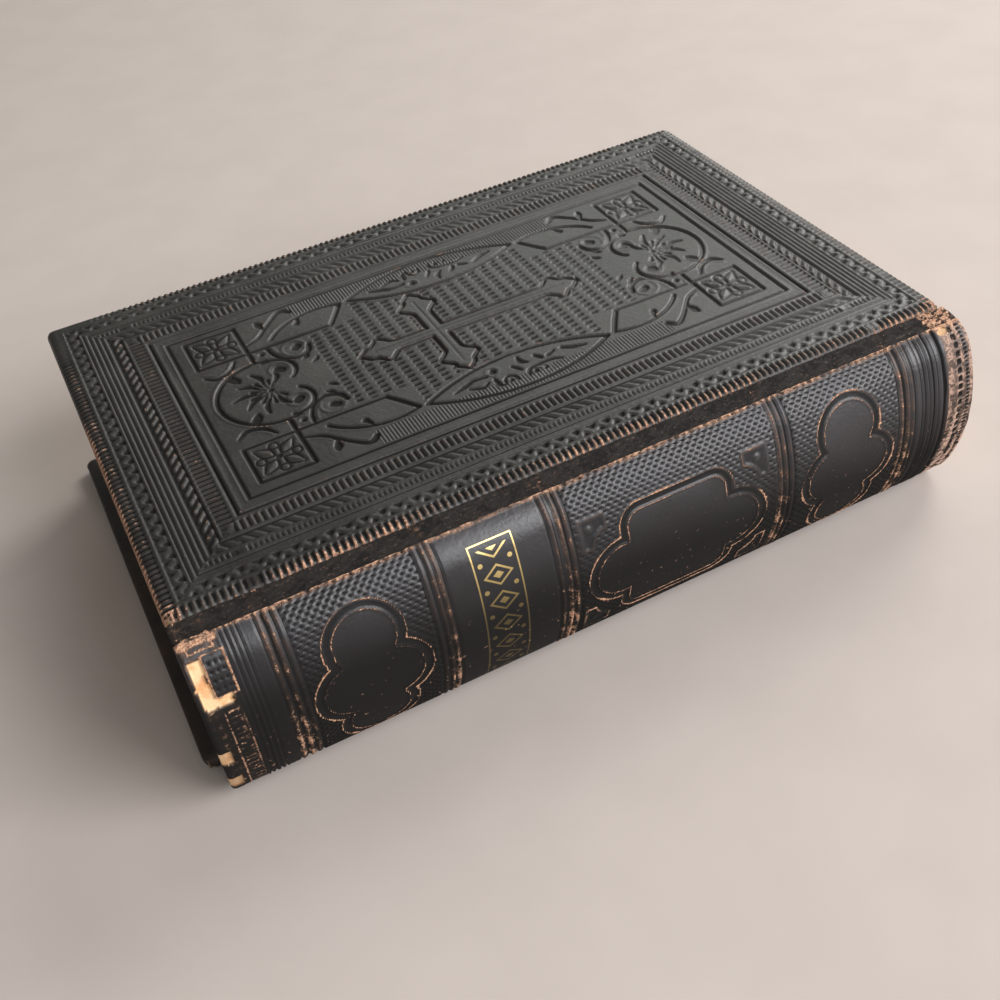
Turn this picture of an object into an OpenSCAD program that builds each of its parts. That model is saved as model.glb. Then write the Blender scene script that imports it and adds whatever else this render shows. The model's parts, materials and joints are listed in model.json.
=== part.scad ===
// Antique leather book lying on its back cover, front cover up.
// +X runs from the head to the tail, the fore-edge is at +Y, the spine at -Y, +Z is up.
// The origin is the bottom centre of the whole book. Millimetres.

/* [Boards] */
// Cover height, head to tail
board_len = 191; // [170:1:215]
// Cover width, joint to fore-edge
board_w = 119; // [110:1:130]
// Book thickness over both covers
book_t = 47; // [42:0.5:52]
// Pasteboard thickness
board_t = 2.4; // [2:0.1:3]
// Cover leather thickness on the outer face
cover_skin = 0.9; // [0.7:0.1:1.2]
// Cover leather thickness on the board edges
edge_skin = 0.8; // [0.6:0.1:1]
// Rounding of the cover edges
edge_r = 2; // [1:0.1:2.4]
// Rounding of the cover corners, seen from above
corner_r = 3; // [2.5:0.1:4]
// Turned-in leather: width on the inner face
turn_w = 13; // [8:0.5:18]
// Turned-in leather: thickness
turn_t = 0.4; // [0.3:0.05:0.6]
// Lap of the pastedown over the turned-in leather
paste_lap = 9; // [4:0.5:10]
// Pastedown paper thickness
paste_t = 0.2; // [0.15:0.05:0.3]
// Slip of the back cover toward the head in the aged binding
back_slip = 3.5; // [0:0.1:3.6]

/* [Spine] */
// Spine bulge beyond the boards
bulge = 15; // [13:0.5:18]
// Radius of the broad middle arc of the spine
spine_r = 42; // [40:1:46]
// Flat run of the spine leather beside each joint
spine_flat = 1.5; // [1:0.1:3]
// Spine leather thickness
spine_skin = 1.1; // [0.9:0.1:1.3]
// Spine stiffener card thickness
card_t = 0.8; // [0.6:0.1:1]
// Half height of the card
card_h = 19.5; // [17:0.5:20]
// Leather wall that closes the spine at head and tail
cap_wall = 1; // [0.8:0.1:1.5]
// Turned-in leather inside the spine: thickness
spine_turn_t = 0.6; // [0.4:0.1:0.8]
// Turned-in leather inside the spine: length
spine_turn_len = 9; // [5:0.5:14]
// Height of the raised bands
ridge_h = 0.3; // [0.2:0.05:0.4]
// Width of a raised band line
ridge_w = 0.8; // [0.6:0.1:1]
// Width of a fine line near head and tail
fine_w = 0.6; // [0.4:0.1:0.7]
// Clearance between the spine leather and a cover
joint_gap = 0.3; // [0.2:0.05:0.5]
// Depth of the worn channel over each joint
channel_d = 0.55; // [0.3:0.05:0.7]

/* [Pages] */
// Overhang of the covers beyond the pages
square_w = 3.8; // [2.5:0.1:5]
// Gap between a cover and the endpapers
page_gap = 0.2; // [0.15:0.05:0.5]
// Free endpaper thickness
fly_t = 0.2; // [0.15:0.05:0.3]
// Gap between the cloth lining and the spine card
back_air = 2; // [1.5:0.1:3]
// Hollow of the fore-edge
fore_hollow = 4; // [2:0.5:6]
// Cloth lining thickness
lining_t = 0.4; // [0.3:0.1:0.6]
// Sewn band at head and tail: roll thickness
band_d = 1.8; // [1.4:0.1:2.2]
// Sewing cord: width of the saw cut
cord_w = 2; // [1.5:0.1:2.5]
// Sewing cord: depth of the saw cut
cord_d = 1.6; // [1.2:0.1:2]

/* [Front cover tooling] */
// Reach of the border from its inner fillet to the cover edge
border_reach = 22.1; // [20:0.1:24]
// Width of a deep fillet
fillet_w = 0.9; // [0.7:0.1:1.2]
// Depth of a deep fillet
fillet_d = 0.5; // [0.3:0.05:0.55]
// Width of a fine fillet
fine_fillet_w = 0.5; // [0.4:0.1:0.7]
// Depth of a fine fillet
fine_fillet_d = 0.3; // [0.2:0.05:0.4]
// Side of the corner squares
corner_sq = 13; // [11:0.5:14]
// Length of the cross, head to foot
cross_len = 60.5; // [50:0.5:66]
// Span of the arms of the cross
cross_span = 38; // [30:0.5:40]
// Width of a rib and of the gap beside it
rib_w = 0.8; // [0.8:0.1:1.2]
// Depth between the ribs
rib_d = 0.4; // [0.2:0.05:0.5]

/* [Spine tooling] */
// Centre-line radius of the lobes
lobe_r = 7.9; // [7:0.1:8.4]
// Width of the lobed outline
lobe_w = 1.5; // [1:0.1:1.8]
// Depth of the lobed outline
lobe_d = 0.5; // [0.3:0.05:0.6]
// Width of the crack beside the tail cap
crack_w = 0.8; // [0.5:0.1:1.2]

/* [Hidden] */
$fn = 64;
eps = 0.01;

mid_z = book_t / 2;
half_len = board_len / 2;
depth_y = board_w + bulge + ridge_h;
joint_y = depth_y / 2 - board_w;
cover_t = cover_skin + board_t + turn_t + paste_t;

// spine outline: a broad middle arc with a tangent shoulder arc at each side
arc_y = spine_r - bulge;
shoulder_run = arc_y + spine_flat;
shoulder_r = (pow(spine_r, 2) - pow(shoulder_run, 2) - pow(mid_z, 2)) / (2 * (spine_r - mid_z));
shoulder_y = -spine_flat;
shoulder_z = mid_z - shoulder_r;
spine_a = atan2(shoulder_z, shoulder_run);
inner_skin = spine_skin + card_t;
inner_turn = inner_skin + spine_turn_t;

// pages
page_half = half_len - square_w;
page_fore = board_w - square_w;
fly_top = mid_z - cover_t - page_gap;
page_top = fly_top - fly_t;
back_bulge = bulge - inner_skin - lining_t - back_air;
ledge_z = mid_z - spine_skin;
ledge_play = 0.1;
ledge_lap = 0.2;
ledge_y = -spine_flat + ledge_play + ledge_lap;
back_rise = back_bulge - spine_flat + ledge_play;
back_r = (pow(back_rise, 2) + pow(ledge_z, 2)) / (2 * back_rise);
back_y = back_r - back_bulge;
hollow_half = page_top + 1;
hollow_r = (pow(fore_hollow, 2) + pow(hollow_half, 2)) / (2 * fore_hollow);
lining_in = 12;
lining_half = page_half - lining_in;
lining_low = 0.8;
lining_z = ledge_z - lining_low;
band_a = 28;
cord_a = 34;
cord_x = page_half / 2 + cord_w;
over = 1;

// border of the front cover: offsets outward from its inner fillet
inner_rib_in = 1.4;
inner_rib_out = 4.6;
groove_in = 5.85;
groove_mid = 12.6;
groove_out = 18.1;
end_grooves = [8.7, 10, 11.3, 14];
outer_rib_in = 19;
inner_fillet_x = half_len - border_reach;
inner_fillet_y = board_w / 2 - border_reach;

// plate of the front cover: places from its centre
frame_x = inner_fillet_x;
frame_y = inner_fillet_y;
frame_step = 3.75;
panel_gap_x = 3.8;
panel_gap_y = 3;
line_w = 0.8;
sq_half = corner_sq / 2;
sq_x = frame_x - frame_step - panel_gap_x - sq_half;
sq_y = frame_y - frame_step - panel_gap_y - sq_half;
petal_len = 6.4;
petal_w = 1.7;
strap_y = sq_y - sq_half;
strap_x = sq_x - sq_half;
strap_end = 30.7;
strap_slant = 9;
strap_a = 122;
oval_r = 12.7;
oval_a = 104;
oval_x = sq_x - 6.2;
lobe_x = oval_x - 3.2;
lobe_y = 6.6;
small_lobe_r = 5.7;
lobe_from = 88;
lobe_to = 232;
eye_r = 1.2;
eye_in = 1.6;
sprig_a = [0, 36, 74, 112];
sprig_len = 7.6;
sprig_in = 1.4;
bud_x = oval_x + 5.9;
bud_y = 8.4;
crescent_r = 5;
crescent_w = 1.1;
crescent_from = 185;
crescent_to = 315;
crescent_x = sq_x + 2.6;
crescent_y = strap_y - 0.9;
dot_r = 0.8;
dot_x = strap_x - 2.6;
dot_y = strap_y - 2.6;
volute_x = oval_x - 9.8;
volute_y = strap_y - 3.8;
volute_r = 4.6;
volute_w = 0.9;
volute_from = -170;
volute_to = 40;
volute_tip_r = 1;
small_leaf_len = 2.6;
small_leaf_w = 1.2;
small_leaf_a = 60;
tendril = [[-0.7, 3.4], [-4.1, 5.1], [-6.8, 8.1], [-10.5, 12.3]];
tendril_w = 0.9;
knot = 0.1;
hook_at = [-12.6, 10.8];
hook_r = 2.5;
hook_w = 1.2;
hook_from = 30;
hook_to = 175;
tendril_leaf = [-6, 10.6];
tendril_leaf_len = 3.4;
tendril_leaf_w = 1.6;
tendril_leaf_a = 80;
strap_leaf = [38, 6.9];
strap_leaf_a = 115;
lens_half = 23.9;
lens_tip_y = frame_y - 11.6;
lens_rise = 6.4;
lens_r = (pow(lens_half, 2) + pow(lens_rise, 2)) / (2 * lens_rise);
lens_a = asin(lens_half / lens_r);
swing_x = 32.5;
swing_y = strap_y - 9;
swing_r = 18;
swing_from = 42;
swing_to = 110;
// leaves in a lens: place from its middle, turn, length
lens_leaf_w = 1.3;
lens_leaves = [
  [-13, -0.7, -14, 7], [-10.8, 1.5, 8, 5], [-6.7, 2.2, 98, 3.6], [-0.6, -0.4, 60, 3.2],
  [1.9, -2.8, -62, 3.4], [5.8, -1.8, 62, 2.6], [9.2, -1.7, -22, 2.8], [14.8, -0.7, 20, 6.6]
];
lens_dots = [[-6, -2.5], [2.9, 2.8], [5.4, 2.9]];
lens_arch_r = 1.6;
lens_arch_at = [-3.6, 2.2];
cross_x = -9.4;
cross_w = 4.15;
spur_in = 5.7;
spur_half = 3.9;
spur_reach = 4.75;
tip_half = 2.9;
tip_reach = 3;
kite_grow = 1.4;

// spine pattern: measured on a book of this half length, and stretched with the book
drawn_half = 95.5;
along = half_len / drawn_half;
band_at = [-78.6, -76.9, -75.3, -45.6, -44.1, -42.6, -16.9, -15.1, -13.3,
  39.6, 41.1, 42.6, 74.2, 75.9, 77.5];
fine_at = [-86.7, -85.2, -83.7, -82.3, 81, 82.4, 83.8, 85.2];
crack_at = 86.7;
quatre_head = -61.2;
quatre_tail = 58.4;
long_at = 12.2;
quatre_rise = 10.9;
quatre_side = 4.2;
long_side = 14.1;
long_half = 13.6;
long_top = 14.4;
long_corner = 4.5;
spandrel_in = 16.8;
spandrel_low = 9.4;
spandrel_w = 6.2;
spandrel_h = 6.6;
spandrel_r = 5.4;
spandrel_dot_r = 0.8;
spandrel_dot_x = spandrel_in + spandrel_w - 2 * spandrel_dot_r;
spandrel_dot_y = spandrel_low + spandrel_h - 2.5 * spandrel_dot_r;

// worn channel over each joint, and how far the cutters keep off it
channel_r = 6;
channel_in = 2.9;
joint_clear = 4.4;

// leather lost at the head of the spine: depths along the book and heights from the middle
rag_r = 0.9;
rag_small_r = 0.5;
upper_break = [3.8, 9.8, 20.3];
foot_break = [7, 9.8, 11.9];
low_break = [3, -6, -1.5];
tail_break = [3.4, -17.5, -11.5];

// outlines in the plane across the book: x is depth, y is height

module spine_outline(grow, lap) {
  intersection() {
    translate([-2 * bulge - lap, -book_t])
      square([2 * bulge, 2 * book_t]);
    union() {
      intersection() {
        translate([arc_y, 0])
          circle(spine_r + grow);
        polygon([
          [arc_y, 0],
          [arc_y - 2 * spine_r * cos(spine_a), 2 * spine_r * sin(spine_a)],
          [arc_y - 2 * spine_r * cos(spine_a), -2 * spine_r * sin(spine_a)]
        ]);
      }
      for (side = [-1, 1])
        translate([shoulder_y, side * shoulder_z])
          circle(shoulder_r + grow);
      translate([shoulder_y, -mid_z - grow])
        square([-shoulder_y, book_t + 2 * grow]);
    }
  }
}

module across(x0, x1) {
  translate([x0, joint_y, mid_z])
    rotate([90, 0, 90])
      linear_extrude(x1 - x0)
        children();
}

module band_of(limit) {
  intersection() {
    children();
    translate([-3 * bulge, -limit])
      square([4 * bulge, 2 * limit]);
  }
}

// pages

module page_outline() {
  difference() {
    union() {
      translate([-joint_gap, -page_top])
        square([page_fore + joint_gap, 2 * page_top]);
      intersection() {
        translate([back_y, 0])
          circle(back_r);
        translate([-2 * bulge - joint_gap, -ledge_z])
          square([2 * bulge, 2 * ledge_z]);
      }
      translate([ledge_y, -ledge_z])
        square([-ledge_y - joint_gap, 2 * ledge_z]);
    }
    translate([page_fore - fore_hollow + hollow_r, 0])
      circle(hollow_r);
  }
}

// a cord let into the back: beyond is how far the saw cut reaches past the pages
module cord_at(x, beyond = 0) {
  translate([x, joint_y + back_y, mid_z])
    rotate([0, 90, 0])
      rotate([0, 0, -90 - cord_a])
        rotate_extrude(angle = 2 * cord_a)
          translate([back_r - cord_d, -cord_w / 2])
            square([cord_d + beyond, cord_w]);
}

module text_block() {
  color("#c9a25a")
    difference() {
      across(-page_half, page_half)
        page_outline();
      for (x = [-cord_x, 0, cord_x])
        cord_at(x, cord_d);
    }
}

module head_cord() {
  color("#cdbb93")
    cord_at(-cord_x);
}

module middle_cord() {
  color("#cdbb93")
    cord_at(0);
}

module tail_cord() {
  color("#cdbb93")
    cord_at(cord_x);
}

module flyleaf(low) {
  translate([-page_half, joint_y, mid_z + low])
    cube([board_len - 2 * square_w, page_fore, fly_t]);
}

module front_flyleaf() {
  color("#e4d6b4")
    flyleaf(page_top);
}

module back_flyleaf() {
  color("#e4d6b4")
    flyleaf(-page_top - fly_t);
}

module spine_lining() {
  color("#d8cba8")
    across(-lining_half, lining_half)
      band_of(lining_z)
        difference() {
          translate([back_y, 0])
            circle(back_r + lining_t);
          translate([back_y, 0])
            circle(back_r);
          translate([-joint_gap, -book_t])
            square([4 * back_r, 2 * book_t]);
        }
}

module sewn_band(x) {
  translate([x, joint_y + back_y, mid_z])
    rotate([0, 90, 0])
      rotate([0, 0, -90 - band_a])
        rotate_extrude(angle = 2 * band_a)
          translate([back_r - band_d / 2, 0])
            union() {
              circle(band_d / 2);
              translate([-band_d / 2, -band_d / 2])
                square([band_d, band_d / 2]);
            }
}

module tail_band() {
  color("#b9573f")
    sewn_band(page_half + band_d / 2);
}

module head_band() {
  color("#b9573f")
    mirror([1, 0, 0])
      sewn_band(page_half + band_d / 2);
}

// spine

module spine_card() {
  color("#e0b98c")
    across(-half_len + cap_wall, half_len - cap_wall)
      band_of(card_h)
        difference() {
          spine_outline(-spine_skin, joint_gap);
          spine_outline(-inner_skin, -bulge);
        }
}

module spine_shell() {
  across(-half_len, half_len)
    difference() {
      spine_outline(0, joint_gap);
      spine_outline(-spine_skin, -bulge);
    }
}

module spine_turned_in() {
  for (side = [-1, 1]) {
    across(side > 0 ? half_len - cap_wall : -half_len, side > 0 ? half_len : -half_len + cap_wall)
      band_of(card_h)
        difference() {
          spine_outline(-spine_skin / 2, joint_gap);
          spine_outline(-inner_turn, -bulge);
        }
    across(
      side > 0 ? half_len - spine_turn_len : -half_len,
      side > 0 ? half_len : -half_len + spine_turn_len
    )
      band_of(card_h)
        difference() {
          spine_outline(-inner_skin, joint_gap);
          spine_outline(-inner_turn, -bulge);
        }
  }
}

module ridge(x, w) {
  across(x - w / 2, x + w / 2)
    difference() {
      spine_outline(ridge_h, joint_clear);
      spine_outline(-spine_skin / 2, -bulge);
    }
}

// a lobed outline drawn from the back: x along the book, y up from the middle
module quatrefoil(grow) {
  for (side = [-1, 1]) {
    translate([0, side * quatre_rise])
      circle(lobe_r + grow);
    translate([side * quatre_side, 0])
      circle(lobe_r + grow);
  }
}

module long_lobes(grow) {
  for (side = [-1, 1]) {
    translate([side * long_side, 0])
      circle(lobe_r + grow);
    for (up = [-1, 1])
      translate([side * (long_half - long_corner), up * (long_top - long_corner)])
        circle(long_corner + grow);
  }
  square([2 * (long_half + grow), 2 * (long_top - long_corner)], center = true);
  square([2 * (long_half - long_corner), 2 * (long_top + grow)], center = true);
}

module spandrels() {
  for (sx = [0, 1])
    for (sy = [0, 1])
      mirror([sx, 0])
        mirror([0, sy])
          difference() {
            translate([spandrel_in, spandrel_low])
              square([spandrel_w, spandrel_h]);
            translate([spandrel_in, spandrel_low])
              circle(spandrel_r);
            translate([spandrel_dot_x, spandrel_dot_y])
              circle(spandrel_dot_r);
          }
}

// what a shape drawn on the back cuts out of the leather, down to a depth
module spine_cut(deep) {
  intersection() {
    translate([0, joint_y + bulge, mid_z])
      rotate([90, 0, 0])
        linear_extrude(4 * bulge)
          children();
    across(-half_len - over, half_len + over)
      difference() {
        spine_outline(over, joint_clear);
        spine_outline(-deep, -bulge);
      }
  }
}

module bite(size) {
  translate([-half_len - over, size[1]])
    square([size[0] + over, size[2] - size[1]]);
  for (step = [0 : 2])
    translate([-half_len + size[0], size[1] + rag_r + step * (size[2] - size[1] - 2 * rag_r) / 2])
      circle(step == 1 ? rag_small_r : rag_r);
}

// leather lost at the head of the spine
module head_break() {
  bite(upper_break);
  bite(foot_break);
  bite(low_break);
  bite(tail_break);
}

module spine_leather() {
  color("#1d1b1e")
    difference() {
      union() {
        spine_shell();
        spine_turned_in();
        for (x = band_at)
          ridge(x * along, ridge_w);
        for (x = fine_at)
          ridge(x * along, fine_w);
      }
      for (side = [-1, 1])
        translate([-board_len, joint_y - channel_in, mid_z + side * (mid_z + channel_r - channel_d)])
          rotate([0, 90, 0])
            cylinder(h = 2 * board_len, r = channel_r);
      spine_cut(lobe_d)
        for (x = [quatre_head, quatre_tail])
          translate([x * along, 0])
            difference() {
              quatrefoil(lobe_w / 2);
              quatrefoil(-lobe_w / 2);
            }
      spine_cut(lobe_d)
        translate([long_at * along, 0]) {
          difference() {
            long_lobes(lobe_w / 2);
            long_lobes(-lobe_w / 2);
          }
          spandrels();
        }
      across(crack_at * along - crack_w / 2, crack_at * along + crack_w / 2)
        difference() {
          spine_outline(over, joint_clear);
          spine_outline(-lobe_d, -bulge);
        }
      spine_cut(spine_skin)
        head_break();
    }
}

// covers

module rounded(x, y, inset, r) {
  for (sx = [-1, 1])
    for (sy = [0, 1])
      translate([sx * (x / 2 - r), sy ? y - r : r])
        circle(r - inset);
  translate([-x / 2 + r, inset])
    square([x - 2 * r, y - 2 * inset]);
  translate([-x / 2 + inset, r])
    square([x - 2 * inset, y - 2 * r]);
}

// outer body of a cover, outer face up at z = cover_t - paste_t, edges rounded over
module cover_body() {
  h = cover_t - paste_t;
  linear_extrude(h - edge_r)
    rounded(board_len, board_w, 0, corner_r);
  linear_extrude(h)
    rounded(board_len, board_w, edge_r, corner_r);
  for (sx = [-1, 1])
    for (sy = [0, 1])
      translate([sx * (half_len - corner_r), sy ? board_w - corner_r : corner_r, h - edge_r])
        rotate([0, 0, sx > 0 ? (sy ? 0 : -90) : (sy ? 90 : 180)])
          rotate_extrude(angle = 90)
            intersection() {
              translate([corner_r - edge_r, 0])
                circle(edge_r);
              translate([corner_r - edge_r, 0])
                square([edge_r, edge_r]);
            }
  for (y = [edge_r, board_w - edge_r])
    translate([-half_len + corner_r, y, h - edge_r])
      rotate([0, 90, 0])
        cylinder(h = board_len - 2 * corner_r, r = edge_r);
  for (sx = [-1, 1])
    translate([sx * (half_len - edge_r), corner_r, h - edge_r])
      rotate([-90, 0, 0])
        cylinder(h = board_w - 2 * corner_r, r = edge_r);
}

module board_solid() {
  translate([-half_len + edge_skin, edge_skin, turn_t])
    cube([board_len - 2 * edge_skin, board_w - 2 * edge_skin, board_t]);
}

module window(inset) {
  translate([-half_len + inset, inset])
    square([board_len - 2 * inset, board_w - 2 * inset]);
}

module plain_cover() {
  difference() {
    intersection() {
      cover_body();
      translate([-board_len, -board_w, 0])
        cube([2 * board_len, 3 * board_w, cover_t]);
    }
    board_solid();
    translate([0, 0, -eps])
      linear_extrude(turn_t + 2 * eps)
        window(turn_w);
  }
}

module pastedown() {
  linear_extrude(turn_t)
    window(turn_w);
  translate([0, 0, -paste_t])
    linear_extrude(paste_t)
      window(turn_w - paste_lap);
}

// front cover tooling, drawn from the cover's centre

module ring(out, w) {
  difference() {
    square([2 * (frame_x + out) + w, 2 * (frame_y + out) + w], center = true);
    square([2 * (frame_x + out) - w, 2 * (frame_y + out) - w], center = true);
  }
}

module end_line(out, w) {
  for (side = [-1, 1])
    translate([side * (frame_x + out), 0])
      square([w, 2 * (frame_y + out) - w], center = true);
}

// the gaps between a row of ribs, centred on a side of the given half length
module rib_gaps(half, reach, w) {
  count = floor(half / (2 * w));
  for (i = [-count : count])
    translate([2 * w * i - w / 2, 0])
      square([w, reach]);
}

// a band of ribs round the cover, from one offset to another, that keeps off its corners by a margin
module rib_band(from, to, margin, w) {
  for (side = [0, 1]) {
    mirror([0, side])
      translate([0, frame_y + from])
        rib_gaps(frame_x + from - margin, to - from, w);
    mirror([side, 0])
      translate([frame_x + from, 0])
        rotate(-90)
          mirror([1, 0])
            rib_gaps(frame_y + from - margin, to - from, w);
  }
}

module loop(r, w) {
  difference() {
    circle(r + w / 2);
    circle(r - w / 2);
  }
}

// part of a loop between two directions
module bow(r, w, from, to) {
  step = (to - from) / 3;
  intersection() {
    loop(r, w);
    polygon([
      [0, 0],
      [2 * r * cos(from), 2 * r * sin(from)],
      [2 * r * cos(from + step), 2 * r * sin(from + step)],
      [2 * r * cos(to - step), 2 * r * sin(to - step)],
      [2 * r * cos(to), 2 * r * sin(to)]
    ]);
  }
}

// a pointed leaf between two arcs, from the origin out along +x
module leaf(long, wide) {
  r = (pow(long, 2) + pow(wide, 2)) / (4 * wide);
  intersection() {
    translate([long / 2, r - wide / 2])
      circle(r);
    translate([long / 2, wide / 2 - r])
      circle(r);
  }
}

// a line through a few points, with a small round knot at each
module stroke(points, w) {
  for (i = [0 : len(points) - 2]) {
    run = points[i + 1] - points[i];
    translate(points[i])
      rotate(atan2(run[1], run[0]))
        translate([0, -w / 2])
          square([norm(run), w]);
  }
  for (point = points)
    translate(point)
      circle(w / 2 + knot);
}

module box_line(size, w) {
  difference() {
    square(size + w, center = true);
    square(size - w, center = true);
  }
}

module kite(half, reach) {
  polygon([[half, 0], [0, reach], [-half, 0], [0, -reach]]);
}

// one flared end of the cross, its point at the origin and its bar along -x
module cross_end(grow) {
  translate([-spur_in, 0])
    kite(spur_half + kite_grow * grow, spur_reach + kite_grow * grow);
  translate([-tip_half, 0])
    kite(tip_half + kite_grow * grow, tip_reach + kite_grow * grow);
}

module cross_shape(grow) {
  foot = cross_len / 2;
  arm = cross_span / 2;
  square([cross_len - 2 * spur_in, cross_w + 2 * grow], center = true);
  translate([cross_x, 0])
    square([cross_w + 2 * grow, cross_span - 2 * spur_in], center = true);
  for (turn = [0, 180])
    rotate(turn)
      translate([foot, 0])
        cross_end(grow);
  for (turn = [90, 270])
    translate([cross_x, 0])
      rotate(turn)
        translate([arm, 0])
          cross_end(grow);
}

// corner square with four petals and a round eye
module rosette() {
  box_line(corner_sq - line_w, line_w);
  for (turn = [45 : 90 : 315])
    rotate(turn)
      translate([dot_r + line_w / 2, 0])
        leaf(petal_len, petal_w);
  for (turn = [0 : 90 : 270])
    rotate(turn)
      translate([petal_len / 2 + dot_r, 0])
        circle(dot_r);
}

// one quarter of the strapwork
module strap_quarter() {
  translate([sq_x, sq_y])
    rosette();
  translate([strap_x, oval_r])
    square([line_w, strap_y - oval_r + line_w / 2]);
  translate([strap_end, strap_y])
    square([strap_x - strap_end + line_w, line_w]);
  translate([strap_end, strap_y + line_w / 2])
    rotate(strap_a)
      translate([0, -line_w / 2])
        square([strap_slant, line_w]);
  translate([swing_x, swing_y])
    bow(swing_r, line_w, swing_from, swing_to);
  translate([lobe_x, lobe_y])
    bow(small_lobe_r, line_w, lobe_from, lobe_to);
  translate([lobe_x - eye_in, lobe_y])
    circle(eye_r);
  translate([bud_x, bud_y])
    rotate(-small_leaf_a)
      leaf(small_leaf_len, small_leaf_w);
  translate([crescent_x, crescent_y])
    bow(crescent_r, crescent_w, crescent_from, crescent_to);
  translate([dot_x, dot_y])
    circle(dot_r);
  translate([volute_x, volute_y]) {
    bow(volute_r, volute_w, volute_from, volute_to);
    translate([-volute_r, 0])
      circle(volute_tip_r);
    translate([-eye_in, 0])
      circle(eye_r);
  }
  translate([volute_x - volute_r, lobe_y])
    rotate(small_leaf_a)
      leaf(small_leaf_len, small_leaf_w);
  translate([strap_x, strap_y]) {
    stroke(tendril, tendril_w);
    translate(hook_at)
      bow(hook_r, hook_w, hook_from, hook_to);
    translate(tendril_leaf)
      rotate(tendril_leaf_a)
        translate([-tendril_leaf_len / 2, 0])
          leaf(tendril_leaf_len, tendril_leaf_w);
  }
  translate([strap_leaf[0], strap_y + strap_leaf[1]])
    rotate(strap_leaf_a)
      translate([-tendril_leaf_len / 2, 0])
        leaf(tendril_leaf_len, tendril_leaf_w);
}

// an oval with its sprig
module oval_end() {
  translate([oval_x, 0]) {
    bow(oval_r, line_w, -oval_a, oval_a);
    for (side = [0, 1])
      mirror([0, side])
        for (turn = sprig_a)
          if (side == 0 || turn > 0)
            rotate(turn)
              translate([sprig_in, 0])
                leaf(sprig_len, petal_w);
  }
}

// an almond at the side of the plate, with its leaves
module lens_side() {
  translate([0, lens_tip_y + lens_r - lens_rise])
    bow(lens_r, line_w, 270 - lens_a, 270 + lens_a);
  translate([0, lens_tip_y - lens_r + lens_rise])
    bow(lens_r, line_w, 90 - lens_a, 90 + lens_a);
  translate([0, lens_tip_y]) {
    for (one = lens_leaves)
      translate([one[0], one[1]])
        rotate(one[2])
          translate([-one[3] / 2, 0])
            leaf(one[3], lens_leaf_w);
    for (at = lens_dots)
      translate(at)
        circle(dot_r);
    translate(lens_arch_at)
      bow(lens_arch_r, line_w, 0, 180);
  }
}

module strapwork() {
  for (sx = [0, 1])
    mirror([sx, 0]) {
      oval_end();
      for (sy = [0, 1])
        mirror([0, sy])
          strap_quarter();
    }
  for (sy = [0, 1])
    mirror([0, sy])
      lens_side();
}

module tool(d) {
  translate([0, board_w / 2, cover_t - paste_t - d])
    linear_extrude(d + over)
      children();
}

module tooled_cover() {
  difference() {
    plain_cover();
    tool(fillet_d) {
      ring(0, fillet_w);
      ring(-frame_step, fillet_w);
    }
    tool(fine_fillet_d) {
      ring(groove_in, fine_fillet_w);
      ring(groove_mid, fine_fillet_w);
      ring(groove_out, fine_fillet_w);
      for (out = end_grooves)
        end_line(out, fine_fillet_w);
    }
    tool(rib_d)
      rib_band(inner_rib_in, inner_rib_out, rib_w, rib_w);
    tool(rib_d)
      rib_band(outer_rib_in, border_reach + over, corner_r, 2 * rib_w);
    tool(fillet_d)
      difference() {
        cross_shape(fillet_w / 2);
        cross_shape(-fillet_w / 2);
      }
    tool(fillet_d)
      strapwork();
  }
}

module as_front() {
  translate([0, joint_y, book_t - cover_t + paste_t])
    children();
}

module as_back() {
  translate([-back_slip, joint_y, cover_t - paste_t])
    mirror([0, 0, 1])
      children();
}

module front_board() {
  color("#b7a078")
    as_front()
      board_solid();
}

module front_cover_leather() {
  color("#23231f")
    as_front()
      tooled_cover();
}

module front_pastedown() {
  color("#dccfae")
    as_front()
      pastedown();
}

module back_board() {
  color("#b7a078")
    as_back()
      board_solid();
}

module back_cover_leather() {
  color("#23231f")
    as_back()
      difference() {
        plain_cover();
        tool(fine_fillet_d) {
          ring(0, fine_fillet_w);
          ring(groove_mid, fine_fillet_w);
        }
      }
}

module back_pastedown() {
  color("#dccfae")
    as_back()
      pastedown();
}

text_block();
front_flyleaf();
back_flyleaf();
spine_lining();
head_band();
tail_band();
head_cord();
middle_cord();
tail_cord();
spine_card();
spine_leather();
front_board();
front_cover_leather();
front_pastedown();
back_board();
back_cover_leather();
back_pastedown();
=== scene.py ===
"""Antique leather book: the dressed scene around its solid parts. Sizes are in millimetres."""

import json
import math

import bpy
import numpy as np
from mathutils import Matrix, Vector

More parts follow.
